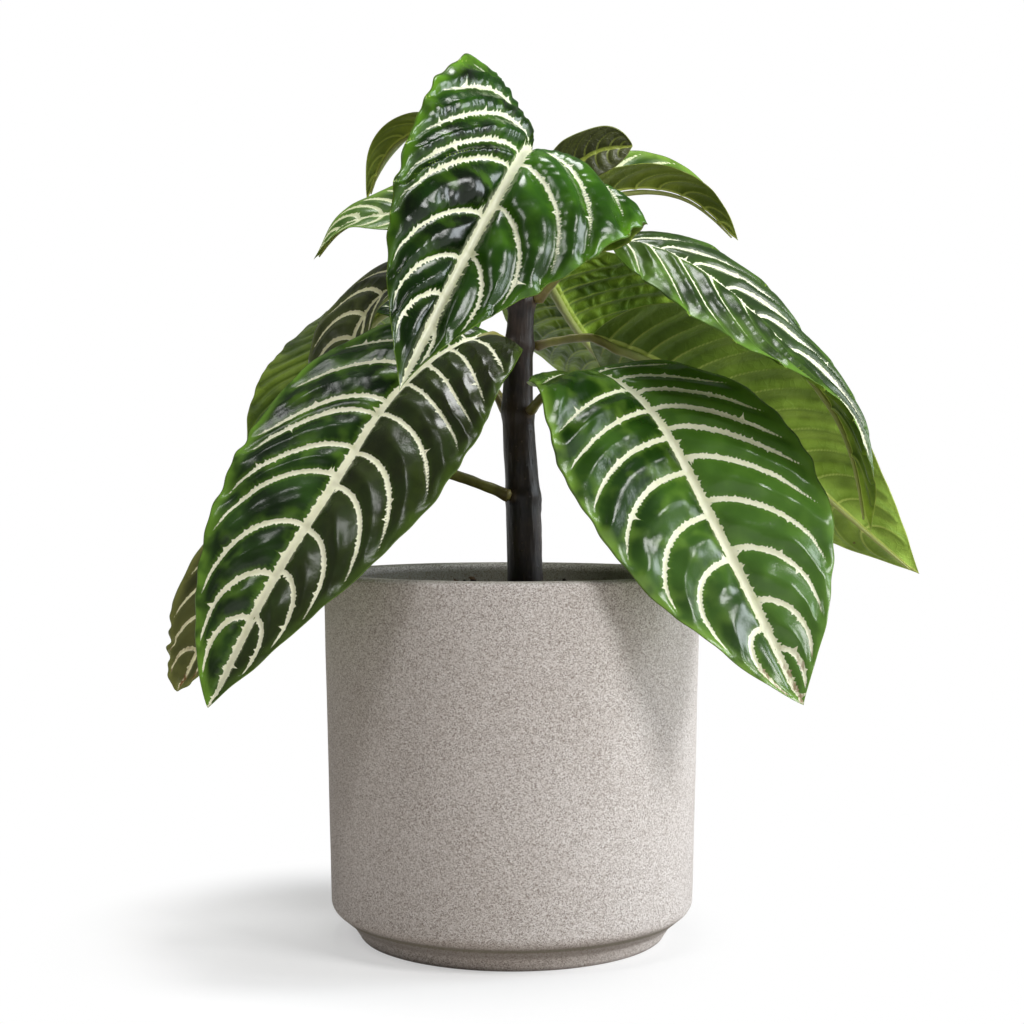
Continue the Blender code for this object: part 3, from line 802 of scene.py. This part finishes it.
# %% Flat distances
def half_width(leaf, u, half):
    """Width of a half blade: u^p (1 - u)^q, scaled so that its peak is the row's width."""
    p, q = leaf["shape"][half]
    peak = p / (p + q)
    return leaf["width"][half] * u**p * (1 - u) ** q / (peak**p * (1 - peak) ** q)


def to_line(x, y, line):
    """For each point, its distance to a line of segments, how far along the nearest place is, and its side."""
    step = np.diff(line, axis=0)
    length = np.linalg.norm(step, axis=1)
    rx, ry = x[..., None] - line[:-1, 0], y[..., None] - line[:-1, 1]
    share = np.clip((rx * step[:, 0] + ry * step[:, 1]) / length**2, 0, 1)
    gaps = np.hypot(rx - share * step[:, 0], ry - share * step[:, 1])
    best = gaps.argmin(-1)[..., None]
    gap, share, rx, ry = (np.take_along_axis(a, best, -1)[..., 0] for a in (gaps, share, rx, ry))
    best = best[..., 0]
    run = (np.cumsum(length) - length)[best] + share * length[best]
    turn = step[best, 0] * ry - step[best, 1] * rx
    return gap, run, np.sign(turn), run / length.sum()


def vein_line(leaf, veins, half, start, blade):
    """Flat points (x, y) of one side vein. Those near the tip stop shorter of the margin."""
    sweep, late, bend, reach = (veins[key][half] for key in ("sweep", "late", "bend", "reach"))
    peak = (late / (late + 1)) ** late / (late + 1)
    lead = sweep * start**late * (1 - start) / peak
    t = np.linspace(0, 1, VEIN_STEPS)
    u = np.minimum(start + lead * t**bend, 0.985)
    aside = (1 - 2 * half) * reach * (1 - 0.45 * start**6) * t
    return np.stack([u * blade, aside * half_width(leaf, u, half)], 1)


def vein_fields(leaf, veins, u, v, blade):
    """Distance to the nearest side vein of the same half, the run along it, its side and the share run."""
    x = u * blade
    gap, run, side, share = np.full(x.shape, 99.0), x * 0, x * 0, x * 0
    for half, sign in ((0, 1), (1, -1)):
        y = v * half_width(leaf, u, half)
        for number, start in enumerate(veins["starts"][half]):
            found = to_line(x, y, vein_line(leaf, veins, half, start, blade))
            nearer = (found[0] < gap) & (v * sign >= 0)
            gap, side, share = (np.where(nearer, new, old) for new, old in zip(
                (found[0], found[2], found[3]), (gap, side, share)))
            run = np.where(nearer, found[1] + 50 * number, run)
    return gap, run, side, share


print("distances are taken to", VEIN_STEPS - 1, "segments per vein")

# %% [markdown]
# The relief adds up in plain terms: a wide soft groove at the midrib, a narrow one at each side vein, a puff
# that rises away from the veins, ripples that run out from each vein like the folds of a gathered cloth, slow
# waves, and longer folds that keep to the direction of the veins. For those we need a coordinate that is
# constant along a vein, u minus the sweep at that v. It all fades towards the margin, which waves up and down.


# %% Leaf relief
def bell(distance, reach):
    return np.exp(-((distance / reach) ** 2))


def relief_of(look, x, y, fields, seed):
    """Height in millimetres above the smooth sheet: grooves, puffs, ripples, laps, slow waves and folds."""
    mid, gap, run, edge = (fields[key] for key in ("mid_gap", "vein_gap", "vein_run", "edge"))
    inside = 1 - bell(edge, 3.5)
    between = (1 - bell(gap, look["spread"])) * (1 - bell(mid, look["spread"]))
    tipward = fields["vein_side"] * (2 * fields["half"] - 1)
    left_share, right_share = look["ripple"]
    ripple = (left_share + (right_share - left_share) * fields["half"]) * (0.6 - 0.4 * tipward)
    ripple = ripple * np.sin(2 * np.pi * run / look["pitch"] + 2.4 * swell(x, y, 9, seed + 1))
    ripple = ripple * (gap / 2.9) * np.exp(-gap / 2.6) * np.interp(fields["along"], (0.3, 0.65), (1, 0.3))
    folds = look["folds"] * swell(0.3 * np.abs(y), fields["family"] + 60 * fields["half"], 5.5, seed + 3)
    slow = (look["slow"] * swell(x, y, 13, seed + 2) + folds) * between
    lap = look["lap"] * tipward * gap / 2.0 * bell(gap, 3.0) * (1 - bell(mid, 6))
    grooves = -0.75 * look["groove"] * bell(mid, 1.7) - 0.35 * look["groove"] * bell(gap, 0.8)
    return (look["puff"] * (between - 0.5) + slow + ripple) * inside - lap + grooves * (1 - bell(edge, 1.0))


def leaf_shell(leaf, look, rib, seed):
    """The blade as one closed shell, with its fields: rings go over the top and back along the underside."""
    rows = int(np.clip(rib.blade / 0.62, 80, 230))
    columns = 2 * int(np.clip(max(leaf["width"]) / 0.72, 20, 60)) + 1
    even = np.linspace(0, 1, rows + 2)[1:-1, None]
    u = 0.55 * even + 0.45 * (1 - np.cos(np.pi * even)) / 2
    s = np.linspace(1, -1, columns)[None]
    v = 0.75 * s + 0.25 * s * np.abs(s)
    u, v = np.broadcast_arrays(u, v)
    half = (v < 0).astype(int)
    wide = np.where(half == 0, half_width(leaf, u, 0), half_width(leaf, u, 1))
    x, y = u * rib.blade, v * wide
    wide = wide * (1 + look["scallop"] * swell(x, 40.0 * half, 9, seed) * np.abs(v) ** 4)
    ragged = look["ragged"] * np.clip((u - 0.8) / 0.2, 0, 1)
    wide = wide * (1 - ragged * np.abs(v) ** 2 * (0.5 + 0.5 * swell(x, 30.0 * half, 3.5, seed + 9)))
    gap, run, side, share = vein_fields(leaf, look["veins"], u, v, rib.blade)
    sweep, bend = (np.where(half == 0, *look["veins"][key]) for key in ("sweep", "bend"))
    fields = {
        "mid_gap": np.abs(y), "vein_gap": gap, "vein_run": run, "vein_side": side, "vein_share": share,
        "edge": np.minimum((1 - np.abs(v)) * wide, (1 - u) * rib.blade), "along": u, "run": x,
        "half": half.astype(float), "family": (u - sweep * np.abs(v) ** bend) * rib.blade,
    }
    fold, curl = (
        np.radians(np.where(half == 0, *(np.interp(u, (0, 0.5, 1), leaf[key][k]) for k in (0, 1))))
        for key in ("fold", "curl")
    )
    angle = fold - curl * np.abs(v)
    reach = (np.sin(fold) - np.sin(angle)) / curl * np.sign(v) * wide
    rise = (np.cos(angle) - np.cos(fold)) / curl * wide
    height = relief_of(look, x, y, fields, seed) * np.clip(u / 0.06, 0, 1) * np.clip((1 - u) / 0.04, 0, 1)
    flutter = look["flutter"] * np.abs(v) ** 3 * swell(x, 50.0 * half, 22, seed + 4) * np.clip(u / 0.15, 0, 1)
    height = height + flutter * np.clip((1 - u) / 0.1, 0, 1)
    place, sideways, upward = rib.at(rib.petiole + u * rib.blade)
    normal = upward * np.cos(angle)[..., None] - sideways * (np.sign(v) * np.sin(angle))[..., None]
    sheet = place + sideways * reach[..., None] + upward * rise[..., None] + normal * height[..., None]
    thin = 0.22 * np.clip(fields["edge"] / 2.5, 0.25, 1)
    ridge = 0.5 * look["groove"] * bell(gap, 0.9) * np.clip(1.1 - share, 0, 1)
    ridge = ridge * np.clip(fields["edge"] / 3, 0, 1)
    top = sheet + normal * thin[..., None] * (np.abs(v) < 1)[..., None]
    under = sheet - normal * (thin + ridge)[..., None]
    rings = np.concatenate([top, under[:, -2:0:-1]], 1)
    fields = {key: np.concatenate([f, f[:, -2:0:-1]], 1) for key, f in fields.items()}
    shell = tube_shell(rings, end=rib.curve[-1])
    fields = {key: np.append(f.ravel(), [f[0].mean(), f[-1].mean()]) for key, f in fields.items()}
    on_top = np.arange(rings.shape[1]) < columns - 1
    slots = np.concatenate([np.tile(on_top, rows - 1), on_top, on_top])
    return shell, fields, np.where(slots, 0, 1)


# %% [markdown]
# The stalk is a separate round shell that runs on beneath the blade as the raised midrib and thins out near
# the tip. It has a shallow channel on its upper side, and it sinks below the sheet over the first part of the
# blade, so the two grow into each other as on the plant.


# %% Stalk and raised midrib
PETIOLE_RINGS, MIDRIB_RINGS, STALK_SIDES = 25, 90, 18


def stalk_shell(look, rib):
    """Rings round the midrib, with radius falling from the foot to the tip and a channel on top."""
    scale = look["stalk"]
    distance = np.concatenate([
        np.linspace(0, rib.petiole, PETIOLE_RINGS + 1)[:-1],
        rib.petiole + rib.blade * np.linspace(0, 0.97, MIDRIB_RINGS),
    ])
    u = np.clip((distance - rib.petiole) / rib.blade, 0, 1)
    foot = np.clip(1 - distance / (0.5 * rib.petiole), 0, 1)
    in_blade = np.clip(u / 0.1, 0, 1)
    radius = scale * ((1.7 + 0.6 * foot**2) * (1 - in_blade) + in_blade * (1.55 * (1 - u) ** 0.8 + 0.3))
    radius = radius * np.sqrt(1 - np.clip(1 - distance / 1.6, 0, 0.92) ** 2)
    drop = np.clip(u / 0.06, 0, 1) * (radius + 0.75 * look["groove"] + 0.5 * look["puff"])
    place, sideways, upward = rib.at(distance)
    turn = around(STALK_SIDES)[None]
    from_top = np.mod(turn - np.pi / 2 + np.pi, 2 * np.pi) - np.pi
    channel = 1 - 0.22 * (1 - in_blade)[:, None] * bell(from_top, 0.6)
    bumps = 1 + 0.05 * swell(distance[:, None], 6 * turn, 7, 40)
    r = radius[:, None] * channel * bumps
    centre = place - upward * drop[:, None]
    rings = centre[:, None] + sideways[:, None] * (r * np.cos(turn))[..., None]
    rings = rings + upward[:, None] * (r * np.sin(turn))[..., None]
    fields = {
        "along": np.append(np.repeat(u, STALK_SIDES), [0, 1]),
        "foot": np.append(np.repeat(foot, STALK_SIDES), [1, 0]),
    }
    return tube_shell(rings), fields


print("a stalk has", PETIOLE_RINGS + MIDRIB_RINGS, "rings")

# %% [markdown]
# ## Leaf finishes
#
# The ink is cream and follows the veins, with small thorns that reach out into the green. Along each vein, a
# one-dimensional cell pattern gives tents at uneven steps. Raised to a power they become thorns, and the vein
# is inked wherever the distance from it is less than its half width plus the thorn. The green goes from
# almost black to grass green, brighter along the veins, with painted light near the margin, under a waxy gloss.


# %% Inked veins
def thorns(leaf, run, side, step, height, power, crowd):
    """Sharp tents along a run: (1 - distance to the nearest cell point)^power times a random height."""
    place = leaf.node("ShaderNodeCombineXYZ", None, {"X": run / step, "Y": side * 7.3 + 11.0, "Z": 0.5})
    tent = leaf.node("ShaderNodeTexVoronoi", {"voronoi_dimensions": "2D"}, {"Vector": place, "Scale": 1.0})
    sockets = {"Vector": place, "Scale": 0.83, "Detail": 1.0}
    level = leaf.node("ShaderNodeTexNoise", {"noise_dimensions": "2D"}, sockets)
    return (1 - tent.least(1.0)) ** power * level.ramp(crowd, crowd + 0.25) * height


def fringe(leaf, run, side, size):
    """How far the ink reaches past a vein's plain edge: a dense row of small thorns and a few long ones."""
    short = thorns(leaf, run, side, 1.1, 1.1 * size, 2.4, 0.32)
    return short + thorns(leaf, run + 3.0, side, 3.4, 3.9 * size, 9.0, 0.4)


def ink_masks(leaf, midrib, lateral, thorn):
    """How much cream lies on the midrib and side veins, and the paler green beside them."""
    along, share, half = leaf.field("along"), leaf.field("vein_share"), leaf.field("half")
    mid_gap, gap = leaf.field("mid_gap"), leaf.field("vein_gap")
    wander = leaf.noise(0.0022, 2.0) - 0.5
    mid_edge = midrib * (0.4 + along.ramp(0.05, 0.55) * 0.6) * (1 - along**7) ** 0.7 + 0.1
    mid_edge = mid_edge + fringe(leaf, leaf.field("run"), half, thorn)
    side_edge = lateral * (0.55 + along.ramp(0.05, 0.45) * 0.45) * (1.2 - share * 0.5).least(1.0)
    side_edge = side_edge * (1 - share**4).most(0.0) ** 0.6
    side_edge = side_edge + fringe(
        leaf, leaf.field("vein_run"), leaf.field("vein_side"), 0.6 * thorn) * share.ramp(1.0, 0.7)
    mid = (mid_edge + wander * 0.5 - mid_gap).ramp(-0.1, 0.14)
    side = (side_edge + wander * 0.45 - gap).ramp(-0.1, 0.14) * share.ramp(1.0, 0.94)
    halo = (mid_edge + 1.3 - mid_gap).ramp(-0.9, 0.9).most((side_edge + 1.0 - gap).ramp(-0.9, 0.9))
    return mid.most(side), halo


def top_finish(
    name, greens, cream, left=None, tip=None, midrib=1.3, lateral=0.6, thorn=1.0, gloss=0.22, scorch=0.0,
    crease=1.0,
):
    """The glossy side, in greens from deep to bright. `left` and `tip` are each a colour and its share, laid
    over the left half and over the last part of the blade. `midrib` and `lateral` are half widths of the ink
    in millimetres, `thorn` scales its thorns, and `scorch` is the share of brown at the midrib's end."""
    deep, mid, bright = greens
    leaf = Finish(name)
    ink, halo = ink_masks(leaf, midrib, lateral, thorn)
    cloud, patch = leaf.noise(0.02, 1.5), leaf.noise(0.008, 1.5)
    edge, half, along = leaf.field("edge"), leaf.field("half"), leaf.field("along")
    green = leaf.mix(cloud.ramp(0.36, 0.68), deep, mid)
    # random bright patches, plus painted light near the margin standing in for light through the thin edge
    patches_and_painted_margin_light = (patch.ramp(0.46, 0.82) * 0.42).most(edge.ramp(6.0, 0.5) * patch.ramp(0.2, 0.55) * 0.85)
    green = leaf.mix(patches_and_painted_margin_light, green, bright)
    green = leaf.mix(halo * 0.2, green, bright)
    if left is not None:
        green = leaf.mix(half.ramp(0.7, 0.3) * (0.6 + patch * 0.6) * left[1], green, left[0])
    if tip is not None:
        green = leaf.mix(along.ramp(0.3, 1.0) * (0.6 + cloud * 0.8) * tip[1], green, tip[0])
    tone = leaf.noise(0.004, 2.0)
    paint = leaf.mix(tone.ramp(0.45, 0.75) * 0.3, cream, tint(212, 220, 160))
    if scorch:
        streak = leaf.node("ShaderNodeMapping", None, {"Vector": leaf.place, "Scale": (1.0, 1.0, 0.2)})
        burnt = leaf.noise(0.0016, 3.0, 0.6, streak).ramp(0.42, 0.6) * (along + tone * 0.1).ramp(0.9, 0.99)
        paint = leaf.mix(burnt * scorch, paint, tint(128, 92, 50))
    skin = leaf.mix(ink, green, paint)
    cells = leaf.node("ShaderNodeTexVoronoi", None, {"Vector": leaf.place, "Scale": 1 / 0.028})
    skin = leaf.mix(cells.ramp(0.028, 0.016) * 0.6, skin, tint(70, 56, 32))
    rim = leaf.mix(edge.ramp(0.5, 0.15) * 0.75, skin, tint(112, 142, 52))
    fine = leaf.noise(0.0011, 3.0, 0.6)
    folds = leaf.bump(leaf.noise(0.008, 1.0), 0.0005 * crease)
    relief = leaf.bump(fine - ink * 0.4, 0.00006, folds)
    leaf.set(Specular_IOR_Level=0.33)
    return leaf.set(Base_Color=rim, Roughness=gloss + fine * 0.07 + ink * 0.12, Normal=relief)


CREAM, IVORY = tint(244, 246, 217), tint(230, 236, 192)
tops = {
    "zebra": top_finish(
        "zebra_top", (tint(14, 34, 5), tint(36, 70, 16), tint(84, 134, 32)), CREAM, midrib=1.3, lateral=0.8),
    "forked": top_finish(
        "forked_zebra_top", (tint(6, 21, 1), tint(30, 68, 9), tint(102, 154, 32)), CREAM,
        left=(tint(70, 124, 24), 0.3), tip=(tint(10, 25, 4), 0.75),
        midrib=0.68, lateral=0.52, thorn=1.4, gloss=0.18, crease=0.4),
    "dusky": top_finish(
        "dusky_zebra_top", (tint(14, 36, 5), tint(44, 76, 24), tint(124, 172, 56)), tint(252, 252, 222),
        # the near half gets its own duller olive brown plus painted shade, as it faces down into shade; the tip
        # share is painted sheen
        left=(tint(42, 46, 20), 0.84), tip=(tint(80, 100, 56), 0.12),
        midrib=1.35, lateral=0.84, thorn=1.1, gloss=0.21),
    "shaded": top_finish(
        "shaded_zebra_top", (tint(26, 56, 9), tint(62, 100, 30), tint(130, 172, 64)), CREAM,
        # painted light: the left half is lightened to make up for light the leaves beside it block; the paler
        # grey tip is painted sheen
        left=(tint(84, 128, 44), 0.7), tip=(tint(88, 116, 68), 0.3),
        midrib=1.3, lateral=0.88, thorn=1.1, gloss=0.18, scorch=0.8),
    "feathered": top_finish(
        "feathered_zebra_top", (tint(36, 58, 17), tint(72, 100, 38), tint(110, 154, 52)), CREAM,
        left=(tint(40, 58, 34), 0.6), midrib=0.3, lateral=0.72, thorn=0.55, gloss=0.26),
    "worn": top_finish(
        "worn_zebra_top", (tint(60, 64, 28), tint(96, 100, 50), tint(132, 136, 70)), tint(250, 244, 200),
        midrib=0.9, lateral=0.7, thorn=0.6, gloss=0.3, scorch=1.0),
    "bronze": top_finish(
        "bronze_top", (tint(32, 38, 14), tint(62, 72, 32), tint(102, 112, 58)), tint(222, 220, 180),
        midrib=0.9, lateral=0.8, thorn=0.7),
    "young": top_finish(
        "young_top", (tint(46, 76, 20), tint(78, 118, 40), tint(126, 164, 62)), IVORY,
        midrib=0.7, lateral=0.75, thorn=0.6, gloss=0.3, crease=0.5),
}
print("leaf tops:", ", ".join(tops))


# %% [markdown]
# Underneath, the leaf is a matt yellow green. The veins stand out in a paler tone, with a net of fine veins
# between them, and the sheet is smoother and duller than on top. The green is darker towards each vein and in a
# thin line beside it: painted shade of the quilting. The stalks are brown where they leave the stem and turn
# olive, then green, as they run on below the blade.


# %% Undersides and stalks
def under_finish(name, deep, bright, vein, spots, foot=None):
    """The matt side. `spots` is the share of brown in its specks, and `foot` a colour near the base."""
    leaf = Finish(name)
    mid_gap, gap = leaf.field("mid_gap"), leaf.field("vein_gap")
    along, share = leaf.field("along"), leaf.field("vein_share")
    cloud, fine = leaf.noise(0.018, 2.0), leaf.noise(0.0012, 3.0, 0.6)
    sockets = {"Vector": leaf.place, "Scale": 1 / 0.003}
    net = leaf.node("ShaderNodeTexVoronoi", {"feature": "DISTANCE_TO_EDGE"}, sockets)
    green = leaf.mix(cloud.ramp(0.3, 0.7), deep, bright)
    if foot is not None:
        green = leaf.mix((along + cloud * 0.3).ramp(0.75, 0.35) * 0.85, green, foot)
    # painted shade: the green darkens towards each vein, where the quilted panels dip
    green = leaf.mix(gap.ramp(4.0, 0.5) * 0.5, green, deep)
    green = leaf.mix(fine.ramp(0.45, 0.7) * 0.16, green, deep)
    side = (0.4 * (1 - share) + 0.12 - gap).ramp(-0.15, 0.12)
    middle = (1.5 * (1 - along) + 0.4 - mid_gap).ramp(-0.3, 0.3)
    green = leaf.mix(side * (1.1 - share) * 0.5, green, vein)
    # painted shade: a thin dark line beside each vein, where its ridge would cast shade
    green = leaf.mix(gap.ramp(1.5, 0.9) * gap.ramp(0.3, 0.8) * 0.4, green, deep)
    green = leaf.mix(middle, green, vein)
    cells = leaf.node("ShaderNodeTexVoronoi", None, {"Vector": leaf.place, "Scale": 1 / 0.013})
    marks = leaf.mix(cells.ramp(0.08, 0.05) * spots, green, tint(92, 72, 34))
    rim = leaf.mix(leaf.field("edge").ramp(0.6, 0.1) * 0.6, marks, vein)
    folds = leaf.bump(leaf.noise(0.006, 2.0, 0.55), 0.0008)
    relief = leaf.bump(fine * 0.5 + net.ramp(0.1, 0.0) * 0.4, 0.00014, folds)
    leaf.set(Specular_IOR_Level=0.25)
    return leaf.set(Base_Color=rim, Roughness=0.38 + fine * 0.15, Normal=relief)


def stalk_finish():
    stalk = Finish("leaf_stalk")
    grain = stalk.node("ShaderNodeMapping", None, {"Vector": stalk.place, "Scale": (1.0, 1.0, 0.4)})
    fine, cloud = stalk.noise(0.0012, 3.0, 0.6, grain), stalk.noise(0.008, 2.0)
    olive = stalk.mix(cloud.ramp(0.35, 0.7), tint(116, 114, 50), tint(146, 144, 68))
    foot = stalk.field("foot")
    brown = stalk.mix(foot.ramp(0.4, 0.9) * 0.7, olive, tint(104, 82, 50))
    brown = stalk.mix(foot.ramp(0.86, 0.96) * 0.7, brown, tint(150, 140, 76))
    pale = stalk.mix(stalk.field("along").ramp(0.0, 0.12), brown, tint(150, 160, 84))
    streaks = stalk.mix(fine.ramp(0.5, 0.8) * 0.4, pale, tint(146, 132, 92))
    return stalk.set(Base_Color=streaks, Roughness=0.42 + fine * 0.15, Normal=stalk.bump(fine, 0.0002))


unders = {
    "bright": under_finish(
        "bright_underside", tint(64, 92, 10), tint(156, 192, 58), tint(182, 204, 94), spots=0.6),
    "broad": under_finish(
        "broad_underside", tint(108, 138, 40), tint(164, 198, 80), tint(198, 214, 112), spots=0.8,
        foot=tint(86, 114, 38)),
    "lime": under_finish(
        "lime_underside", tint(90, 108, 31), tint(138, 158, 55), tint(192, 208, 96), spots=0.2),
    "olive": under_finish(
        "olive_underside", tint(48, 52, 14), tint(76, 84, 26), tint(150, 162, 64), spots=0.2),
}
stalk_material = stalk_finish()

# %% [markdown]
# ## Thirteen leaves
#
# Now each row becomes a piece. The looks table says how puffed each blade is, how far its margin waves, and
# which finishes it wears. The big lower leaves and the one in front are mature. The topmost pairs are still
# soft and plain. Each piece stands for its solid leaf and lies where that leaf is.

# %% Leaf looks
MATURE = dict(
    puff=1.8, spread=5.0, ripple=(0.12, 0.12), pitch=4.6, slow=0.4, folds=0.16, lap=0.0, groove=1.0,
    flutter=0.8, scallop=0.01, ragged=0.0, stalk=1.0, top=tops["zebra"], under=unders["bright"],
)
YOUNG = dict(
    MATURE, puff=0.7, spread=3.0, slow=0.25, groove=0.6, flutter=0.5, stalk=0.75,
    top=tops["young"], under=unders["lime"],
)
LOOKS = {
    "leaf_1_left": dict(MATURE, puff=1.2, ragged=0.5, stalk=1.25, top=tops["worn"]),
    "leaf_2_right": dict(MATURE, puff=2.2, folds=0.28, top=tops["shaded"]),
    "leaf_2_left": dict(MATURE, puff=1.6),
    "leaf_3_left": dict(MATURE, puff=2.0, folds=0.26, top=tops["dusky"]),
    "leaf_3_right": dict(MATURE, puff=2.8, folds=0.2, under=unders["broad"]),
    "leaf_4_right": dict(MATURE, puff=1.4, spread=3.4, ripple=(0.15, 0.15), lap=1.2, top=tops["feathered"]),
    "leaf_4_left": dict(MATURE, top=tops["bronze"], ripple=(0.4, 0.4)),
    "leaf_5_front": dict(
        MATURE, puff=2.2, spread=3.4, ripple=(0.5, 1.5), pitch=4.4, slow=0.6, folds=0.1, lap=1.0, flutter=0.3,
        scallop=0.02, top=tops["forked"]),
    "leaf_5_back": dict(MATURE, puff=2.8, ripple=(1.5, 1.5), pitch=7.0),
    "leaf_6_right": dict(YOUNG),
    "leaf_6_left": dict(YOUNG),
    "leaf_7_right": dict(YOUNG, top=unders["olive"], under=unders["olive"]),
    "leaf_7_left": dict(YOUNG),
}

# %% Grow the leaves
for number, (name, leaf) in enumerate(LEAVES.items()):
    look = dict(LOOKS[name], veins=VEINS.get(name, USUAL_VEINS))
    rib = ribs[name]
    blade, blade_fields, blade_slots = leaf_shell(leaf, look, rib, 100 + 10 * number)
    stalk, stalk_fields = stalk_shell(look, rib)
    together = merged([blade, stalk])
    parts = (blade_fields, np.zeros(len(blade[0]))), (stalk_fields, np.zeros(len(stalk[0])))
    fields = {
        key: np.concatenate([part.get(key, missing) for part, missing in parts])
        for key in (*blade_fields, "foot")
    }
    quads = len(blade[1])
    slots = np.concatenate([
        blade_slots[:quads], np.full(len(stalk[1]), 2), blade_slots[quads:], np.full(len(stalk[2]), 2),
    ])
    finishes = [look["top"], look["under"], stalk_material]
    seat(piece(name + "_skin", together, finishes, fields, slots), name)

# %% [markdown]
# ## Floor and light
#
# The plant stands on a plain white floor. Only a disc on the shadow's side of the foot shows how it is lit, so
# that it keeps the soft shadow. Further out the floor is plain white to the camera and to glossy rays, and for
# the light that it throws back up it is a warm grey. The light is what a small studio gives: two soft boxes
# from the right, a weaker one from the left and one overhead. The backdrop is white to the camera and low down
# in reflections. It is dim to everything else, so that the greens stay deep.


# %% Floor
LIT_MIDDLE = (-0.045, -0.005, 0.0)
LIT_RADII = (0.075, 0.135)  # the disc fades out between these
LIT_SHARE = 0.55  # how much of the lit floor shows within the disc
WARM_GREY, WHITE = tint(196, 187, 178), (1.0, 1.0, 1.0, 1.0)


def floor_finish():
    floor = Finish("white_floor")
    sockets = {0: floor.place, 1: LIT_MIDDLE}
    far = floor.node("ShaderNodeVectorMath", {"operation": "DISTANCE"}, sockets, out="Value")
    seen = floor.ray("Camera").most(floor.ray("Glossy")).most(floor.ray("Transmission"))
    glow = floor.node("ShaderNodeEmission", None, {"Color": WHITE, "Strength": 1.0})
    floor.set(Base_Color=floor.mix(seen, WARM_GREY, WHITE), Roughness=1.0)
    share = seen * (1 - LIT_SHARE + far.ramp(*LIT_RADII) * LIT_SHARE)
    surface = Wire(floor.tree, floor.shader.outputs[0])
    both = floor.node("ShaderNodeMixShader", None, {0: share, 1: surface, 2: glow})
    join(floor.tree, both, floor.tree.nodes["Material Output"].inputs["Surface"])
    return floor.material


FLOOR_REACH = 3000.0
floor_points = FLOOR_REACH * np.array([(-1, -1, 0), (1, -1, 0), (1, 1, 0), (-1, 1, 0)])
floor_shell = (floor_points, np.array([[0, 1, 2, 3]]), np.zeros((0, 3), int))
piece("floor", floor_shell, [floor_finish()])


# %% Lamps and room
def soft_box(name, place, aim, size, power, colour=(1.0, 1.0, 1.0)):
    """A square area lamp that faces a point."""
    data = bpy.data.lights.new(name, "AREA")
    data.size, data.energy, data.color = size, power, colour
    lamp = bpy.data.objects.new(name, data)
    lamp.location = place
    away = np.array(place) - np.array(aim)
    flat = np.hypot(away[0], away[1])
    lamp.rotation_euler = (np.arctan2(flat, away[2]), 0, np.arctan2(away[0], -away[1]))
    bpy.context.scene.collection.objects.link(lamp)


MIDDLE = (0.0, 0.0, 0.17)
soft_box("key_right", (0.85, -0.62, 0.75), MIDDLE, 0.36, 8.5)
soft_box("side_right", (1.05, 0.0, 0.5), MIDDLE, 0.42, 6.7, (0.88, 0.94, 1.0))
soft_box("fill_left", (-0.5, -0.55, 1.0), MIDDLE, 0.24, 2.2)
soft_box("overhead", (0.0, 0.1, 1.15), MIDDLE, 0.32, 6.0)

DIM = 0.16  # the room's brightness to diffuse rays, and to reflections that look up
world = bpy.data.worlds.new("room")
world.use_nodes = True
room = Graph(world.node_tree)
towards = room.node("ShaderNodeTexCoord", out="Generated")
rise = room.node("ShaderNodeSeparateXYZ", None, {"Vector": towards}, out="Z")
mirrored = room.ray("Glossy").most(room.ray("Transmission")) * rise.ramp(0.18, 0.0)
seen = room.ray("Camera").most(mirrored)
background = world.node_tree.nodes["Background"]
background.inputs["Color"].default_value = WHITE
join(world.node_tree, seen * (1 - DIM) + DIM, background.inputs["Strength"])
bpy.context.scene.world = world
print("lamps placed")

# %% [markdown]
# ## Finish
#
# At the end the view layer is brought up to date.

# %% Finish
bpy.context.view_layer.update()
